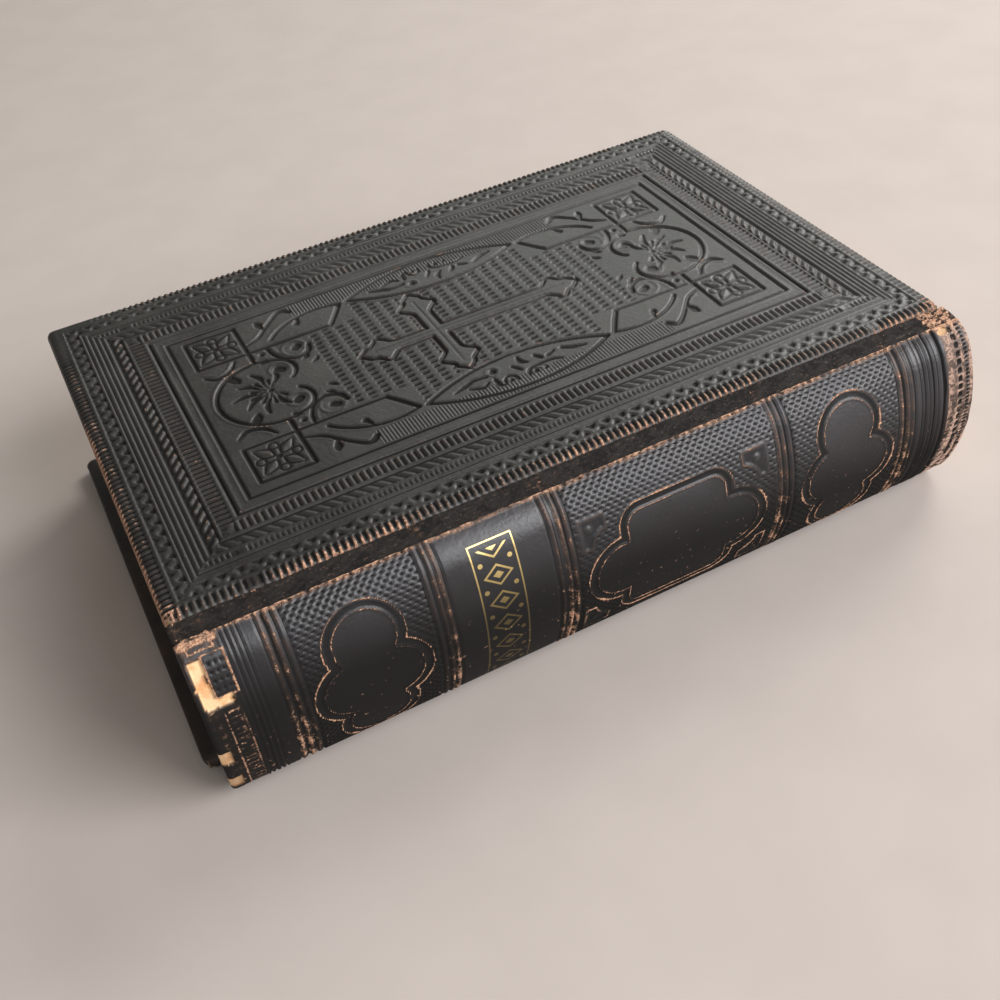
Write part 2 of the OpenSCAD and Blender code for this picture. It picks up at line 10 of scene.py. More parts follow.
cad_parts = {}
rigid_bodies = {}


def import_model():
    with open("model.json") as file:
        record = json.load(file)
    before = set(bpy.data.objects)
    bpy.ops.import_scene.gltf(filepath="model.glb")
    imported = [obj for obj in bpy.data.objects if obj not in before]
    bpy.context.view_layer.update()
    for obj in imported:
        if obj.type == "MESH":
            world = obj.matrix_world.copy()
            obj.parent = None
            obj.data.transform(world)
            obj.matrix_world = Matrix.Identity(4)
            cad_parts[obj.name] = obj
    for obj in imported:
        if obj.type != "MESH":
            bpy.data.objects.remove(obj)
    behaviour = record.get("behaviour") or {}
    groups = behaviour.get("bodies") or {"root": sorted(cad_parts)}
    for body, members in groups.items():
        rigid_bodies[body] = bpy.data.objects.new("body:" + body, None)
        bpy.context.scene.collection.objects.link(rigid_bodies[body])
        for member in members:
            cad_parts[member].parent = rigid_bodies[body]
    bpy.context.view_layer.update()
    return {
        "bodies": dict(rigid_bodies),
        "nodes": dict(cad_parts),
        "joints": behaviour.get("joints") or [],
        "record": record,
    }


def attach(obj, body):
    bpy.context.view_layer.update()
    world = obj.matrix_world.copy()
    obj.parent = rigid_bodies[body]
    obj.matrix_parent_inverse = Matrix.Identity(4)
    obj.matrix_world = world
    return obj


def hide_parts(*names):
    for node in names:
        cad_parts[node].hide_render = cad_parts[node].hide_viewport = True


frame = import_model()

MM = 0.001

# the sizes that the solid parts have
BOARD_L = 191.0
BOARD_W = 119.0
BOOK_T = 47.0
COVER_T = 3.7
EDGE_R = 2.0
CORNER_R = 3.0
WORN_CORNER_R = 2.2
BACK_SLIP = 3.5
TURN_W = 13.0
TURN_T = 0.4
JOINT_Y = -51.85
BULGE = 15.0
SPINE_R = 42.0
SPINE_FLAT = 1.5
JOINT_GAP = 0.3
SPINE_SKIN = 1.1
SPINE_INNER = 2.5
SPINE_TURN = 9.0
BORDER = 22.1

HALF_L = BOARD_L / 2
HALF_W = BOARD_W / 2
MID_Z = BOOK_T / 2
COVER_Y = JOINT_Y + HALF_W
FRAME_X = HALF_L - BORDER
FRAME_Y = HALF_W - BORDER


# shader sums

class Wire:
    """One shader socket, so that masks can be written as sums."""

    def __init__(self, finish, socket):
        self.finish = finish
        self.socket = socket

    def sum(self, operation, *others):
        return self.finish.node("ShaderNodeMath", {"operation": operation}, [self, *others])

    def __add__(self, other):
        return self.sum("ADD", other)

    def __sub__(self, other):
        return self.sum("SUBTRACT", other)

    def __mul__(self, other):
        return self.sum("MULTIPLY", other)

    def __truediv__(self, other):
        return self.sum("DIVIDE", other)

    def __rsub__(self, other):
        return self.finish.node("ShaderNodeMath", {"operation": "SUBTRACT"}, [other, self])

    __radd__ = __add__
    __rmul__ = __mul__

    def __abs__(self):
        return self.sum("ABSOLUTE")

    def sine(self):
        return self.sum("SINE")

    def most(self, other):
        return self.sum("MAXIMUM", other)

    def least(self, other):
        return self.sum("MINIMUM", other)

    def part(self):
        return self.sum("FRACT")

    def step(self, low, high):
        """0 below low, 1 above high, smooth between."""
        values = {"Value": self, "From Min": low, "From Max": high}
        return self.finish.node("ShaderNodeMapRange", {"interpolation_type": "SMOOTHSTEP"}, values)


class Finish:
    """A material, with the nodes that make it."""

    def __init__(self, name, **constants):
        self.material = bpy.data.materials.new(name)
        self.material.use_nodes = True
        self.tree = self.material.node_tree
        self.tree.nodes.clear()
        self.shader = self.tree.nodes.new("ShaderNodeBsdfPrincipled")
        self.out = self.tree.nodes.new("ShaderNodeOutputMaterial")
        self.tree.links.new(self.shader.outputs[0], self.out.inputs[0])
        for socket, value in constants.items():
            self.shader.inputs[socket.replace("_", " ")].default_value = value

    def node(self, kind, settings=(), values=(), out=0):
        made = self.tree.nodes.new(kind)
        for name, value in dict(settings).items():
            setattr(made, name, value)
        pairs = values.items() if isinstance(values, dict) else enumerate(values)
        for where, value in pairs:
            self.plug(made.inputs[where], value)
        return Wire(self, made.outputs[out])

    def plug(self, socket, value):
        if isinstance(value, Wire):
            self.tree.links.new(value.socket, socket)
        elif socket.type == "RGBA":
            socket.default_value = (*value, 1.0)
        else:
            socket.default_value = value

    def feed(self, socket, value):
        self.plug(self.shader.inputs[socket], value)

    def mix(self, factor, first, second):
        values = {0: factor, 6: first, 7: second}
        return self.node("ShaderNodeMix", {"data_type": "RGBA"}, values, out=2)

    def attribute(self, name, out="Fac"):
        return self.node("ShaderNodeAttribute", {"attribute_name": name}, out=out)

    def apart(self, vector):
        """The three numbers of a vector."""
        made = self.node("ShaderNodeSeparateXYZ", values=[vector])
        outputs = made.socket.node.outputs
        return [Wire(self, outputs[i]) for i in range(3)]

    def stretch(self, vector, factors):
        return self.node("ShaderNodeVectorMath", {"operation": "MULTIPLY"}, [vector, factors])

    def noise(self, vector, scale, detail, rough=0.55):
        values = {"Vector": vector, "Scale": scale, "Detail": detail, "Roughness": rough}
        return self.node("ShaderNodeTexNoise", values=values)

    def cells(self, vector, scale, feature="F1"):
        values = {"Vector": vector, "Scale": scale}
        return self.node("ShaderNodeTexVoronoi", {"feature": feature}, values)

    def paint_shade_and_dullness(self, factor, colour):
        """Where factor is 1 the surface takes a dull dark shader: painted shade in grooves and on
        shaded sides, and the joint strip's own dull finish.
        """
        painted_shade_and_strip_dull = self.tree.nodes.new("ShaderNodeBsdfPrincipled")
        self.plug(painted_shade_and_strip_dull.inputs["Base Color"], colour)
        self.plug(painted_shade_and_strip_dull.inputs["Roughness"], 0.9)
        self.plug(painted_shade_and_strip_dull.inputs["Specular IOR Level"], 0.14)
        ends = [Wire(self, shader.outputs[0]) for shader in (self.shader, painted_shade_and_strip_dull)]
        joined = self.node("ShaderNodeMixShader", values=[factor, *ends])
        self.tree.links.new(joined.socket, self.out.inputs[0])

    def bump(self, height, distance):
        return self.node("ShaderNodeBump", values={"Height": height, "Distance": distance})

    def place(self):
        """Where a point lies in the whole book, in metres."""
        return self.node("ShaderNodeTexCoord", out="Object")


# curves, heights and skins

def smooth(low, high, x):
    t = np.clip((x - low) / (high - low), 0.0, 1.0)
    return t * t * (3 - 2 * t)


def bell(x, centre, half, soft=0.15):
    """1 within half of centre, 0 outside, smooth over soft."""
    return 1 - smooth(half - soft, half + soft, np.abs(x - centre))


def bars(x, pitch, share=0.5, soft=0.3):
    """1 on the bars of a row, 0 in its gaps."""
    away = np.abs((x / pitch) % 1 - 0.5) * 2
    return 1 - smooth(share - soft, share + soft, away)


def arc(cx, cy, r, start, end, n):
    a = np.radians(np.linspace(start, end, n))
    return np.stack([cx + r * np.cos(a), cy + r * np.sin(a)], 1)


def spun(points, degrees, cx, cy=0.0):
    """The points turned about (0, 0) and then moved."""
    c, s = math.cos(math.radians(degrees)), math.sin(math.radians(degrees))
    return [(cx + c * p - s * q, cy + s * p + c * q) for p, q in points]


def bend(points, n=6):
    """A smooth line through a few points."""
    p = np.asarray(points, float)
    p = np.vstack([2 * p[0] - p[1], p, 2 * p[-1] - p[-2]])
    t = np.linspace(0, 1, n, endpoint=False)[:, None]
    runs = []
    for a, b, c, d in zip(p[:-3], p[1:-2], p[2:-1], p[3:]):
        run = 2 * b + (c - a) * t + (2 * a - 5 * b + 4 * c - d) * t**2
        runs.append((run + (3 * b - a - 3 * c + d) * t**3) / 2)
    return np.vstack([*runs, p[-2:-1]])


def soften(h, reach):
    """The mean of a grid over a square window."""
    for axis in (0, 1):
        pads = [(0, 0), (0, 0)]
        pads[axis] = (reach + 1, reach)
        total = np.cumsum(np.pad(h, pads, mode="edge"), axis)
        size = 2 * reach + 1
        ahead = np.take(total, range(size, total.shape[axis]), axis)
        behind = np.take(total, range(0, total.shape[axis] - size), axis)
        h = (ahead - behind) / size
    return h


def sway(x, y, seed, pitch=30.0):
    """Slow uneven waves, from -1 to 1."""
    draw = np.random.default_rng(seed)
    total = 0
    for k in range(5):
        a = draw.uniform(0, 2 * math.pi)
        b = draw.uniform(0, 2 * math.pi)
        f = 2 * math.pi / pitch * (1 + 0.7 * k)
        total = total + np.sin(f * (x * math.cos(a) + y * math.sin(a)) + b) / (1 + k)
    return total / 2.3


class Relief:
    """Heights on a grid, where lines and shapes are pressed in or raised."""

    def __init__(self, u, v):
        self.u = u
        self.v = v
        self.cut = np.zeros((len(u), len(v)))
        self.up = np.zeros((len(u), len(v)))

    def press(self, line, width, depth, soft=0.2, raised=False):
        line = np.asarray(line, float)
        width = np.atleast_1d(width)
        steps = np.linspace(0, 1, len(line))
        half = np.interp(steps, np.linspace(0, 1, len(width)), width) / 2
        reach = half.max() + soft
        low = line.min(0) - reach
        high = line.max(0) + reach
        i0, i1 = np.searchsorted(self.u, (low[0], high[0]))
        j0, j1 = np.searchsorted(self.v, (low[1], high[1]))
        if i0 == i1 or j0 == j1:
            return
        u = self.u[i0:i1, None]
        v = self.v[None, j0:j1]
        best = np.full((i1 - i0, j1 - j0), 1e3)
        for a, b, ha, hb in zip(line[:-1], line[1:], half[:-1], half[1:]):
            d = b - a
            k = np.clip(((u - a[0]) * d[0] + (v - a[1]) * d[1]) / max(d @ d, 1e-9), 0, 1)
            away = np.hypot(u - a[0] - k * d[0], v - a[1] - k * d[1]) - ha - (hb - ha) * k
            best = np.minimum(best, away)
        mark = depth * (1 - smooth(-soft, soft, best))
        field = self.up if raised else self.cut
        field[i0:i1, j0:j1] = np.maximum(field[i0:i1, j0:j1], mark)

    def dot(self, x, y, r, depth):
        self.press([(x, y), (x + 0.01, y)], 2 * r, depth)

    def ring(self, x, y, r, width, depth, raised=False):
        self.press(arc(x, y, r, 0, 360, 28), width, depth, raised=raised)


def add_object(name, data):
    made = bpy.data.objects.new(name, data)
    bpy.context.scene.collection.objects.link(made)
    return made


MARKS = ("crest", "depth", "worn", "torn")


def marks(x, y, extra, crest, depth, worn, torn=0.0):
    """What the leather finishes read at each point."""
    values = zip(MARKS, (crest, depth, worn, torn))
    found = {name: np.broadcast_to(value, x.shape).ravel() for name, value in values}
    found["plate"] = np.stack(np.broadcast_arrays(x, y, extra), -1).reshape(-1, 3)
    return found


def skin(name, points, faces, found, finish, body, node):
    """A leather surface that stands for a solid part."""
    mesh = bpy.data.meshes.new(name)
    mesh.from_pydata((points * MM).tolist(), [], faces)
    mesh.update()
    mesh.shade_smooth()
    for mark, values in found.items():
        wide = values.ndim == 2
        layer = mesh.attributes.new(mark, "FLOAT_VECTOR" if wide else "FLOAT", "POINT")
        layer.data.foreach_set("vector" if wide else "value", values.astype(np.float32).ravel())
    mesh.materials.append(finish.material)
    piece = add_object(name, mesh)
    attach(piece, body)
    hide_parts(node)


def grid_faces(n, m):
    i, j = np.meshgrid(np.arange(n - 1), np.arange(m - 1), indexing="ij")
    a = (i * m + j).ravel()
    return np.stack([a, a + m, a + m + 1, a + 1], 1)


# the blind-tooled plate of the front cover; places are measured from its middle

GROUND = 0.2
LINE_W = 0.8
LINE_D = 0.5
FRAME_STEP = 3.75
SQUARE = (59.4, 24.2)
SQUARE_HALF = 6.4
STRAP_Y = 17.8
STRAP_END = 30.7
STRAP_ARC = (32.5, 8.8)
STRAP_ARC_R = 18.0
SPRIG_X = 53.0
OVAL_X = 53.2
OVAL_R = 12.7
SMALL_LOBE = (50.0, 6.5)
SMALL_LOBE_R = 5.3
LENS_HALF = 23.9
LENS_TIP = 25.8
LENS_RISE = 6.4
LENS_R = (LENS_HALF**2 + LENS_RISE**2) / (2 * LENS_RISE)
CROSS_X = -9.4
CROSS_HALF_W = 2.05
CROSS_FOOT = 30.2
CROSS_ARM = 19.0
CROSS_FLARE = 10.2
PLATE_SHIFT = 0.6
BRICK_L = 3.5
BRICK_W = 1.95


def mirrored(points, su, sv):
    return np.asarray(points, float) * (su, sv)


def corner_square(r, su, sv):
    x, y = SQUARE
    h = SQUARE_HALF
    box = [(x - h, y - h), (x + h, y - h), (x + h, y + h), (x - h, y + h), (x - h, y - h)]
    r.press(mirrored(box, su, sv), LINE_W, LINE_D)
    cx, cy = x * su, y * sv
    for turn in range(45, 360, 90):
        for up in (1, -1):
            side = spun([(1.2, 0.2 * up), (3.4, 1.5 * up), (6.6, 0.2 * up)], turn, cx, cy)
            r.press(bend(side), (0.5, 0.7, 0.3), 0.34)
        r.press(spun([(2.0, 0), (5.2, 0)], turn, cx, cy), (0.9, 0.5), 0.14, raised=True)
        r.ring(*spun([(4.2, 0)], turn + 45, cx, cy)[0], 1.1, 0.55, 0.3)
    r.dot(cx, cy, 0.8, 0.35)


def straps(r, su, sv):
    def line(points, width=LINE_W, depth=LINE_D, raised=False):
        r.press(mirrored(points, su, sv), width, depth, raised=raised)

    edge = SQUARE[0] - SQUARE_HALF
    line([(edge, 13.2), (edge, STRAP_Y)])
    line([(edge, STRAP_Y), (STRAP_END, STRAP_Y)])
    line([(edge - 0.9, 13.2), (edge - 0.9, STRAP_Y - 0.8)], 0.35, 0.14, raised=True)
    line(arc(*STRAP_ARC, STRAP_ARC_R, 40, 112, 16))
    line(arc(*STRAP_ARC, STRAP_ARC_R + 0.9, 44, 108, 16), 0.3, 0.12, raised=True)
    line(bend([(38.3, 23.4), (37.7, 24.6), (37.2, 25.9)]), (1.5, 0.9, 0.5), 0.45)
    # oval, with its two inner lobes and the volutes inside them
    line(arc(OVAL_X, 0, OVAL_R, 0, 104, 20), 0.9)
    line(arc(OVAL_X, 0, OVAL_R + 1.0, 0, 96, 20), 0.4, 0.15, raised=True)
    sx, sy = SMALL_LOBE
    line(arc(sx, sy, SMALL_LOBE_R, 232, 75, 18), 0.85)
    line(arc(sx, sy, SMALL_LOBE_R - 1.0, 215, 100, 14), 0.35, 0.12, raised=True)
    r.ring((sx - 1.5) * su, (sy + 0.5) * sv, 2.6, 0.5, 0.16, raised=True)
    line([(sx - 1.2, sy + 0.7), (sx - 1.9, sy + 0.2)], 2.2, 0.42)
    line(bend([(59.9, 9.6), (59.1, 8.4), (58.6, 7.2)]), (2.4, 2.2, 0.8), 0.42)
    # leaf over the square, and the dot beside it
    line(bend([(65.5, 13.6), (62.8, 11.7), (59.3, 12.9), (57.0, 16.2)]), (0.4, 1.3, 1.2, 0.4), 0.48)
    line(bend([(65.2, 14.8), (62.4, 13.2), (59.6, 14.2), (58.0, 16.6)]), 0.4, 0.14, raised=True)
    dot = (50.3 * su, 15.2 * sv)
    r.ring(*dot, 1.25, 0.35, 0.14, raised=True)
    r.dot(*dot, 0.6, 0.4)
    # outer volute
    line(bend([(48.4, 17.2), (48.0, 14.4), (46.4, 11.2), (43.0, 9.3), (39.8, 10.6), (38.8, 13.2)]),
         (0.6, 0.7, 0.6, 1.0, 1.4, 1.1), 0.5)
    line(arc(42.4, 13.6, 3.0, -40, 210, 16), 0.5, 0.16, raised=True)
    line([(42.2, 13.4), (41.4, 13.9)], 2.0, 0.45)
    line(bend([(47.2, 17.0), (46.6, 14.2), (45.2, 11.9)]), 0.4, 0.14, raised=True)
    for x, y in ((39.4, 5.9), (41.0, 8.4)):
        line(bend([(x + 1.0, y - 0.6), (x, y), (x - 0.8, y + 0.9)]), (0.4, 1.1, 0.4), 0.42)
    # tendril along the ground
    line(bend([(52.2, 21.2), (48.8, 22.9), (46.1, 25.9), (43.9, 28.3), (41.2, 30.8), (39.6, 31.0),
               (38.1, 29.7)]), (0.6, 0.8, 0.9, 0.9, 1.2, 1.5, 1.3), 0.48)
    line(bend([(50.9, 23.0), (48.0, 24.6), (45.6, 27.4)]), 0.4, 0.14, raised=True)
    line(bend([(46.6, 26.8), (46.9, 28.4), (47.3, 29.6)]), (1.0, 1.9, 0.7), 0.45)
    line(bend([(30.7, 18.2), (28.6, 21.2), (26.1, 25.2)]), (1.0, 1.1, 1.0), 0.5)


def sprig(r, su):
    """Seven petals spread from one point inside an oval."""
    petals = ((0, 9.2), (34, 8.2), (-34, 8.2), (72, 8.8), (-72, 8.8), (112, 7.6), (-112, 7.6))
    for turn, length in petals:
        def turned(points):
            return mirrored(spun(points, turn, SPRIG_X), su, 1)

        r.press(turned([(1.4, 0.0), (length * 0.5, 0.3)]), 0.35, 0.3)
        tip = turned([(length * 0.4, 0.5), (length * 0.7, 1.0), (length, 0.3)])
        r.press(bend(tip), (0.4, 1.3, 0.5), 0.42)
        r.press(bend(turned([(length * 0.3, -0.6), (length * 0.55, -1.1)])), (0.3, 1.0), 0.4)
    r.dot(SPRIG_X * su, 0, 0.7, 0.3)


def lens(r, sv):
    """One almond at the side of the plate, with leaves and scrolls in it."""
    span = math.degrees(math.asin(LENS_HALF / LENS_R))
    near = LENS_TIP + LENS_R - LENS_RISE
    far = LENS_TIP - LENS_R + LENS_RISE
    r.press(mirrored(arc(0, near, LENS_R, 270 - span, 270 + span, 30), 1, sv), 0.85, LINE_D)
    r.press(mirrored(arc(0, far, LENS_R, 90 - span, 90 + span, 30), 1, sv), 0.85, LINE_D)
    r.press(mirrored(arc(0, near, LENS_R + 1.0, 271 - span, 269 + span, 30), 1, sv), 0.35, 0.14,
            raised=True)
    strokes = (
        ([(-17.2, 26.0), (-14.0, 24.9), (-11.4, 24.0), (-8.0, 24.4)], (0.4, 1.2, 0.9, 0.5)),
        ([(-13.6, 26.4), (-10.6, 27.6), (-8.6, 26.6)], (0.4, 0.9, 0.5)),
        ([(-6.9, 26.2), (-6.7, 28.7), (-5.4, 29.4)], (0.6, 1.1, 0.4)),
        ([(-5.2, 28.9), (-4.9, 27.6), (-3.6, 26.9), (-2.3, 27.7), (-2.0, 29.2)], 0.6),
        ([(1.3, 21.6), (1.4, 23.4), (2.7, 24.5)], (0.7, 1.3, 0.5)),
        ([(5.2, 23.0), (5.9, 24.0), (6.4, 25.0)], (0.8, 1.2, 0.5)),
        ([(8.1, 24.6), (10.2, 23.7)], (1.0, 0.5)),
        ([(12.2, 23.8), (14.6, 25.1), (17.8, 25.9)], (0.9, 1.2, 0.4)),
        ([(1.0, 29.2), (1.4, 27.7), (3.2, 26.8), (7.8, 26.6), (10.6, 27.6)],
         (0.6, 0.9, 0.8, 0.7, 0.4)),
        ([(-1.4, 24.0), (-0.4, 25.4), (0.2, 26.6)], (0.5, 0.9, 0.4)),
    )
    for points, width in strokes:
        r.press(mirrored(bend(points), 1, sv), width, 0.38)
    for x, y, radius in ((-6.0, 23.3, 1.3), (-3.6, 28.6, 0.8), (2.9, 28.6, 1.0), (5.4, 28.7, 0.6)):
        r.ring(x, y * sv, radius + 0.4, 0.4, 0.12, raised=True)
        r.dot(x, y * sv, radius * 0.6, 0.4)


def cross_outline():
    """Half of one flared end of the cross, from the bar to the tip, out along +x."""
    end = [(-CROSS_FLARE, 0.0), (-9.2, 0.35), (-8.0, 1.4), (-6.9, 2.7), (-5.7, 2.75), (-4.7, 1.5),
           (-3.8, 0.6), (-2.3, 0.25), (0.0, -CROSS_HALF_W)]
    return [(p, q + CROSS_HALF_W) for p, q in end]


def cross(r):
    ends = ((CROSS_FOOT, 0, 0.0), (CROSS_FOOT, 180, 0.0),
            (CROSS_ARM, 90, CROSS_X), (CROSS_ARM, 270, CROSS_X))
    half = cross_outline()
    for reach, turn, middle in ends:
        for side in (1, -1):
            run = [(reach + p, side * q) for p, q in half]
            r.press(spun(run, turn, middle), 0.85, 0.55)
    w = CROSS_HALF_W
    for side in (1, -1):
        bar = CROSS_FOOT - CROSS_FLARE
        for start, end in ((-bar, CROSS_X - w), (CROSS_X + w, bar)):
            r.press([(start, side * w), (end, side * w)], 0.85, 0.55)
            r.press([(start - 6, side * (w + 0.9)), (end, side * (w + 0.9))], 0.3, 0.1, raised=True)
        for up in (1, -1):
            x = CROSS_X + side * w
            r.press([(x, up * w), (x, up * (CROSS_ARM - CROSS_FLARE))], 0.85, 0.55)
    r.press([(-CROSS_FOOT + 4, 0), (CROSS_FOOT - 4, 0)], 0.3, 0.1)
    r.press([(CROSS_X, -CROSS_ARM + 4), (CROSS_X, CROSS_ARM - 4)], 0.3, 0.1)


def in_cross(u, v, grow):
    w = CROSS_HALF_W + grow
    bar = (np.abs(v) < w) & (np.abs(u) < CROSS_FOOT)
    arm = (np.abs(u - CROSS_X) < w) & (np.abs(v) < CROSS_ARM)
    ends = np.zeros_like(bar)
    foot, arm_end = CROSS_FOOT - 5.7, CROSS_ARM - 5.7
    for x, y in ((foot, 0), (-foot, 0), (CROSS_X, arm_end), (CROSS_X, -arm_end)):
        ends |= np.abs(u - x) + np.abs(v - y) < 5.0 + grow
    return bar | arm | ends


def brick_pits(u, v):
    """Small level pits in staggered columns over the field round the cross."""
    column = np.floor(u / BRICK_L)
    across = np.abs((u / BRICK_L) % 1 - 0.5) * BRICK_L
    along = np.abs((v / BRICK_W + column % 2 / 2) % 1 - 0.5) * BRICK_W
    pit = (1 - smooth(0.7, 1.15, across)) * (1 - smooth(0.2, 0.62, along))
    above = np.hypot(u, np.abs(v) - LENS_TIP - LENS_R + LENS_RISE) > LENS_R + 1.2
    inside = (np.abs(u) < 24) | (np.abs(v) < STRAP_Y - 1.2)
    left = np.hypot(np.abs(u) - 43.5, np.abs(v) - 13.6) > 6.4
    field = (np.abs(u) < 38.5) & (np.abs(v) < LENS_TIP - 1.5) & above & inside & left
    return pit * field


def plate_heights(u, v):
    """Depth below the top of the tooling for the whole plate inside the deep fillet."""
    r = Relief(u, v - PLATE_SHIFT)
    for su in (1, -1):
        for sv in (1, -1):
            corner_square(r, su, sv)
            straps(r, su, sv)
        sprig(r, su)
    for sv in (1, -1):
        lens(r, sv)
    cross(r)
    uu = u[:, None]
    vv = (v - PLATE_SHIFT)[None, :]
    inner = in_cross(uu, vv, 0.0)
    keep_off = in_cross(uu, vv, 1.0)
    h = GROUND - r.up
    h = h - 0.1 * inner
    h = h + 0.3 * brick_pits(uu, vv) * ~keep_off * (r.cut < 0.05)
    # the frame round the plate
    t = np.maximum(np.abs(uu) - FRAME_X, np.abs(v[None, :]) - FRAME_Y)
    h = np.where(t > -FRAME_STEP, 0.12, h)
    h = h - 0.1 * bell(t, -2.9, 0.2) - 0.1 * bell(t, -1.0, 0.3)
    h = np.maximum(h, r.cut + GROUND * (r.cut > 0.05))
    h = np.maximum(h, 0.6 * bell(t, -FRAME_STEP, 0.42, 0.22))
    return np.maximum(h, 0.6 * bell(t, 0.0, 0.45, 0.22))


def plate_grid(n, m):
    """Rows, columns, both spread over the plate, and the distance beyond its frame."""
    u = np.linspace(-FRAME_X, FRAME_X, n)
    v = np.linspace(-FRAME_Y, FRAME_Y, m)
    uu, vv = np.meshgrid(u, v, indexing="ij")
    return u, v, uu, vv, np.maximum(np.abs(uu) - FRAME_X, np.abs(vv) - FRAME_Y)


def front_plate(finish):
    u, v, uu, vv, t = plate_grid(440, 225)
    h = plate_heights(u, v)
    wave = 0.06 * (1 + sway(uu, vv, 3)) * smooth(0, 3, -t)
    points = np.stack([uu, COVER_Y + vv, BOOK_T - h - wave], -1).reshape(-1, 3)
    hatch = (np.abs(vv) > 27.6) & (t < -4.6) & (np.abs(uu) < 38) & (h < GROUND + 0.02)
    worn = 0.08 + 0.1 * smooth(0.3, 1.0, sway(uu, vv, 5, 50))
    found = marks(uu, vv, hatch, soften(h, 2) - h, h, worn)
    faces = grid_faces(*h.shape).tolist()
    skin("front_cover_plate", points, faces, found, finish, "front_cover",
         "front_cover_leather")


# the border of a cover: offsets run outward from the deep fillet round the plate

RIB = 1.6
TOOTH = 1.2
ROLL = 3.85


def row_offsets():
    """More rows where the tooling is fine: each run has a start, an end and a count."""
    runs = ((0, 1.3, 4), (1.3, 1.7, 2), (1.7, 4.3, 3), (4.3, 6.2, 6), (6.2, 8.7, 7),
            (8.7, 13.9, 16), (13.9, 14.9, 3), (14.9, 17.7, 7), (17.7, 19.2, 5), (19.2, 20.1, 2))
    rows = [np.linspace(a, b, n, endpoint=False) for a, b, n in runs]
    return np.concatenate([*rows, [BORDER - EDGE_R]])


def common_lines(s, t):
    """Tooling that runs round all four sides: s along the side, t outward."""
    h = np.full(np.broadcast(s, t).shape, 0.22)
    h = h - 0.17 * bell(t, 0.95, 0.3)
    ribs = bars(s, RIB)
    h = np.where((t > 1.35) & (t < 4.65), 0.46 - 0.4 * ribs, h)
    h = np.where(np.abs(t - 5.0) < 0.36, 0.05, h)
    h = np.maximum(h, 0.45 * bell(t, 5.85, 0.25))
    low = 0.42 + 0.12 * sway(s, t, 41, 2.3)
    for start, reach, width in ((0.0, 0.9, 0.42), (1.9, -0.8, 0.34), (3.1, 0.5, 0.25)):
        leaf = bars(s + start + reach * (t - 16.3), ROLL, width, 0.16)
        low = low - 0.3 * leaf * bell(t, 16.3, 1.2, 0.35)
    low = low + 0.3 * bars(s + 1.1, ROLL, 0.2, 0.12) * bell(t, 15.6, 0.5, 0.25)
    low = low + 0.26 * bars(s, 1.93, 0.32, 0.2) * bell(t, 17.2, 0.35, 0.2)
    h = np.where((t > 14.85) & (t < 17.75), low.clip(0.06, 0.62), h)
    h = np.where(np.abs(t - 18.35) < 0.4, 0.04, h)
    return np.where(t > 18.8, 0.56 - 0.5 * ribs, h)


def long_lines(s, t):
    """Tooling of the two long sides."""
    h = common_lines(s, t)
    leaf = bars(s + 0.9 * (t - 7.5), 2.8, 0.5) * bell(t, 7.5, 1.1, 0.3)
    h = np.where((t > 6.15) & (t < 8.85), 0.42 - 0.3 * leaf, h)
    h = np.where(np.abs(t - 9.3) < 0.45, 0.05, h)
    teeth = bars(s, TOOTH, 0.5, 0.35)
    h = np.where((t > 9.9) & (t < 11.5), 0.45 - 0.36 * teeth, h)
    h = np.where(np.abs(t - 11.85) < 0.35, 0.05, h)
    h = np.maximum(h, 0.45 * bell(t, 12.6, 0.22))
    return np.where(np.abs(t - 14.4) < 0.4, 0.05, h)


def short_lines(s, t):
    """Tooling of the head and tail sides."""
    h = common_lines(s, t)
    turn = 1.15 * np.sin(np.clip((t - 7.0) / 1.3, -1, 1) * math.pi / 2)
    rope = bars(s + turn, 2 * RIB, 0.5, 0.28)
    h = np.where((t > 5.5) & (t < 8.35), 0.55 - 0.52 * rope * bell(t, 6.95, 1.05, 0.3), h)
    for line in (8.7, 10.0, 11.3, 12.6, 13.9):
        h = np.where(np.abs(t - line - 0.65) < 0.34, 0.05, h)
        h = np.maximum(h, 0.5 * bell(t, line, 0.26))
    return h


def plain_lines(s, t):
    """The back cover: three fine fillets."""
    h = np.full(np.broadcast(s, t).shape, 0.1)
    for line in (0.0, 12.6, 14.2):
        h = np.maximum(h, 0.42 * bell(t, line, 0.26))
    return h


def edge_profile():
    """Rows from the last flat row over the rounded edge and under the board: offset, drop, lean."""
    rows = [(BORDER - EDGE_R + EDGE_R * math.sin(a), EDGE_R * (1 - math.cos(a)), a)
            for a in np.radians([22.5, 45, 67.5, 90])]
    return rows + [
        (BORDER, COVER_T - 0.5, math.pi / 2),
        (BORDER - 0.5, COVER_T, math.pi / 2),
        (BORDER - TURN_W * 0.5, COVER_T, 0.0),
        (BORDER - TURN_W, COVER_T, 0.0),
        (BORDER - TURN_W, COVER_T - TURN_T, 0.0),
    ]


def round_corner(x, y):
    """Plan corners go from square to round; the head corner at the fore-edge is worn rounder."""
    r = np.where((x < 0) & (y > 0), WORN_CORNER_R, CORNER_R)
    dx = np.abs(x) - (HALF_L - r)
    dy = np.abs(y) - (HALF_W - r)
    both = (dx > 0) & (dy > 0)
    scale = np.where(both, np.maximum(dx, dy) / np.maximum(np.hypot(dx, dy), 1e-6), 1.0)
    nx = np.where(both, np.sign(x) * (HALF_L - r + dx * scale), x)
    ny = np.where(both, np.sign(y) * (HALF_W - r + dy * scale), y)
    return nx, ny


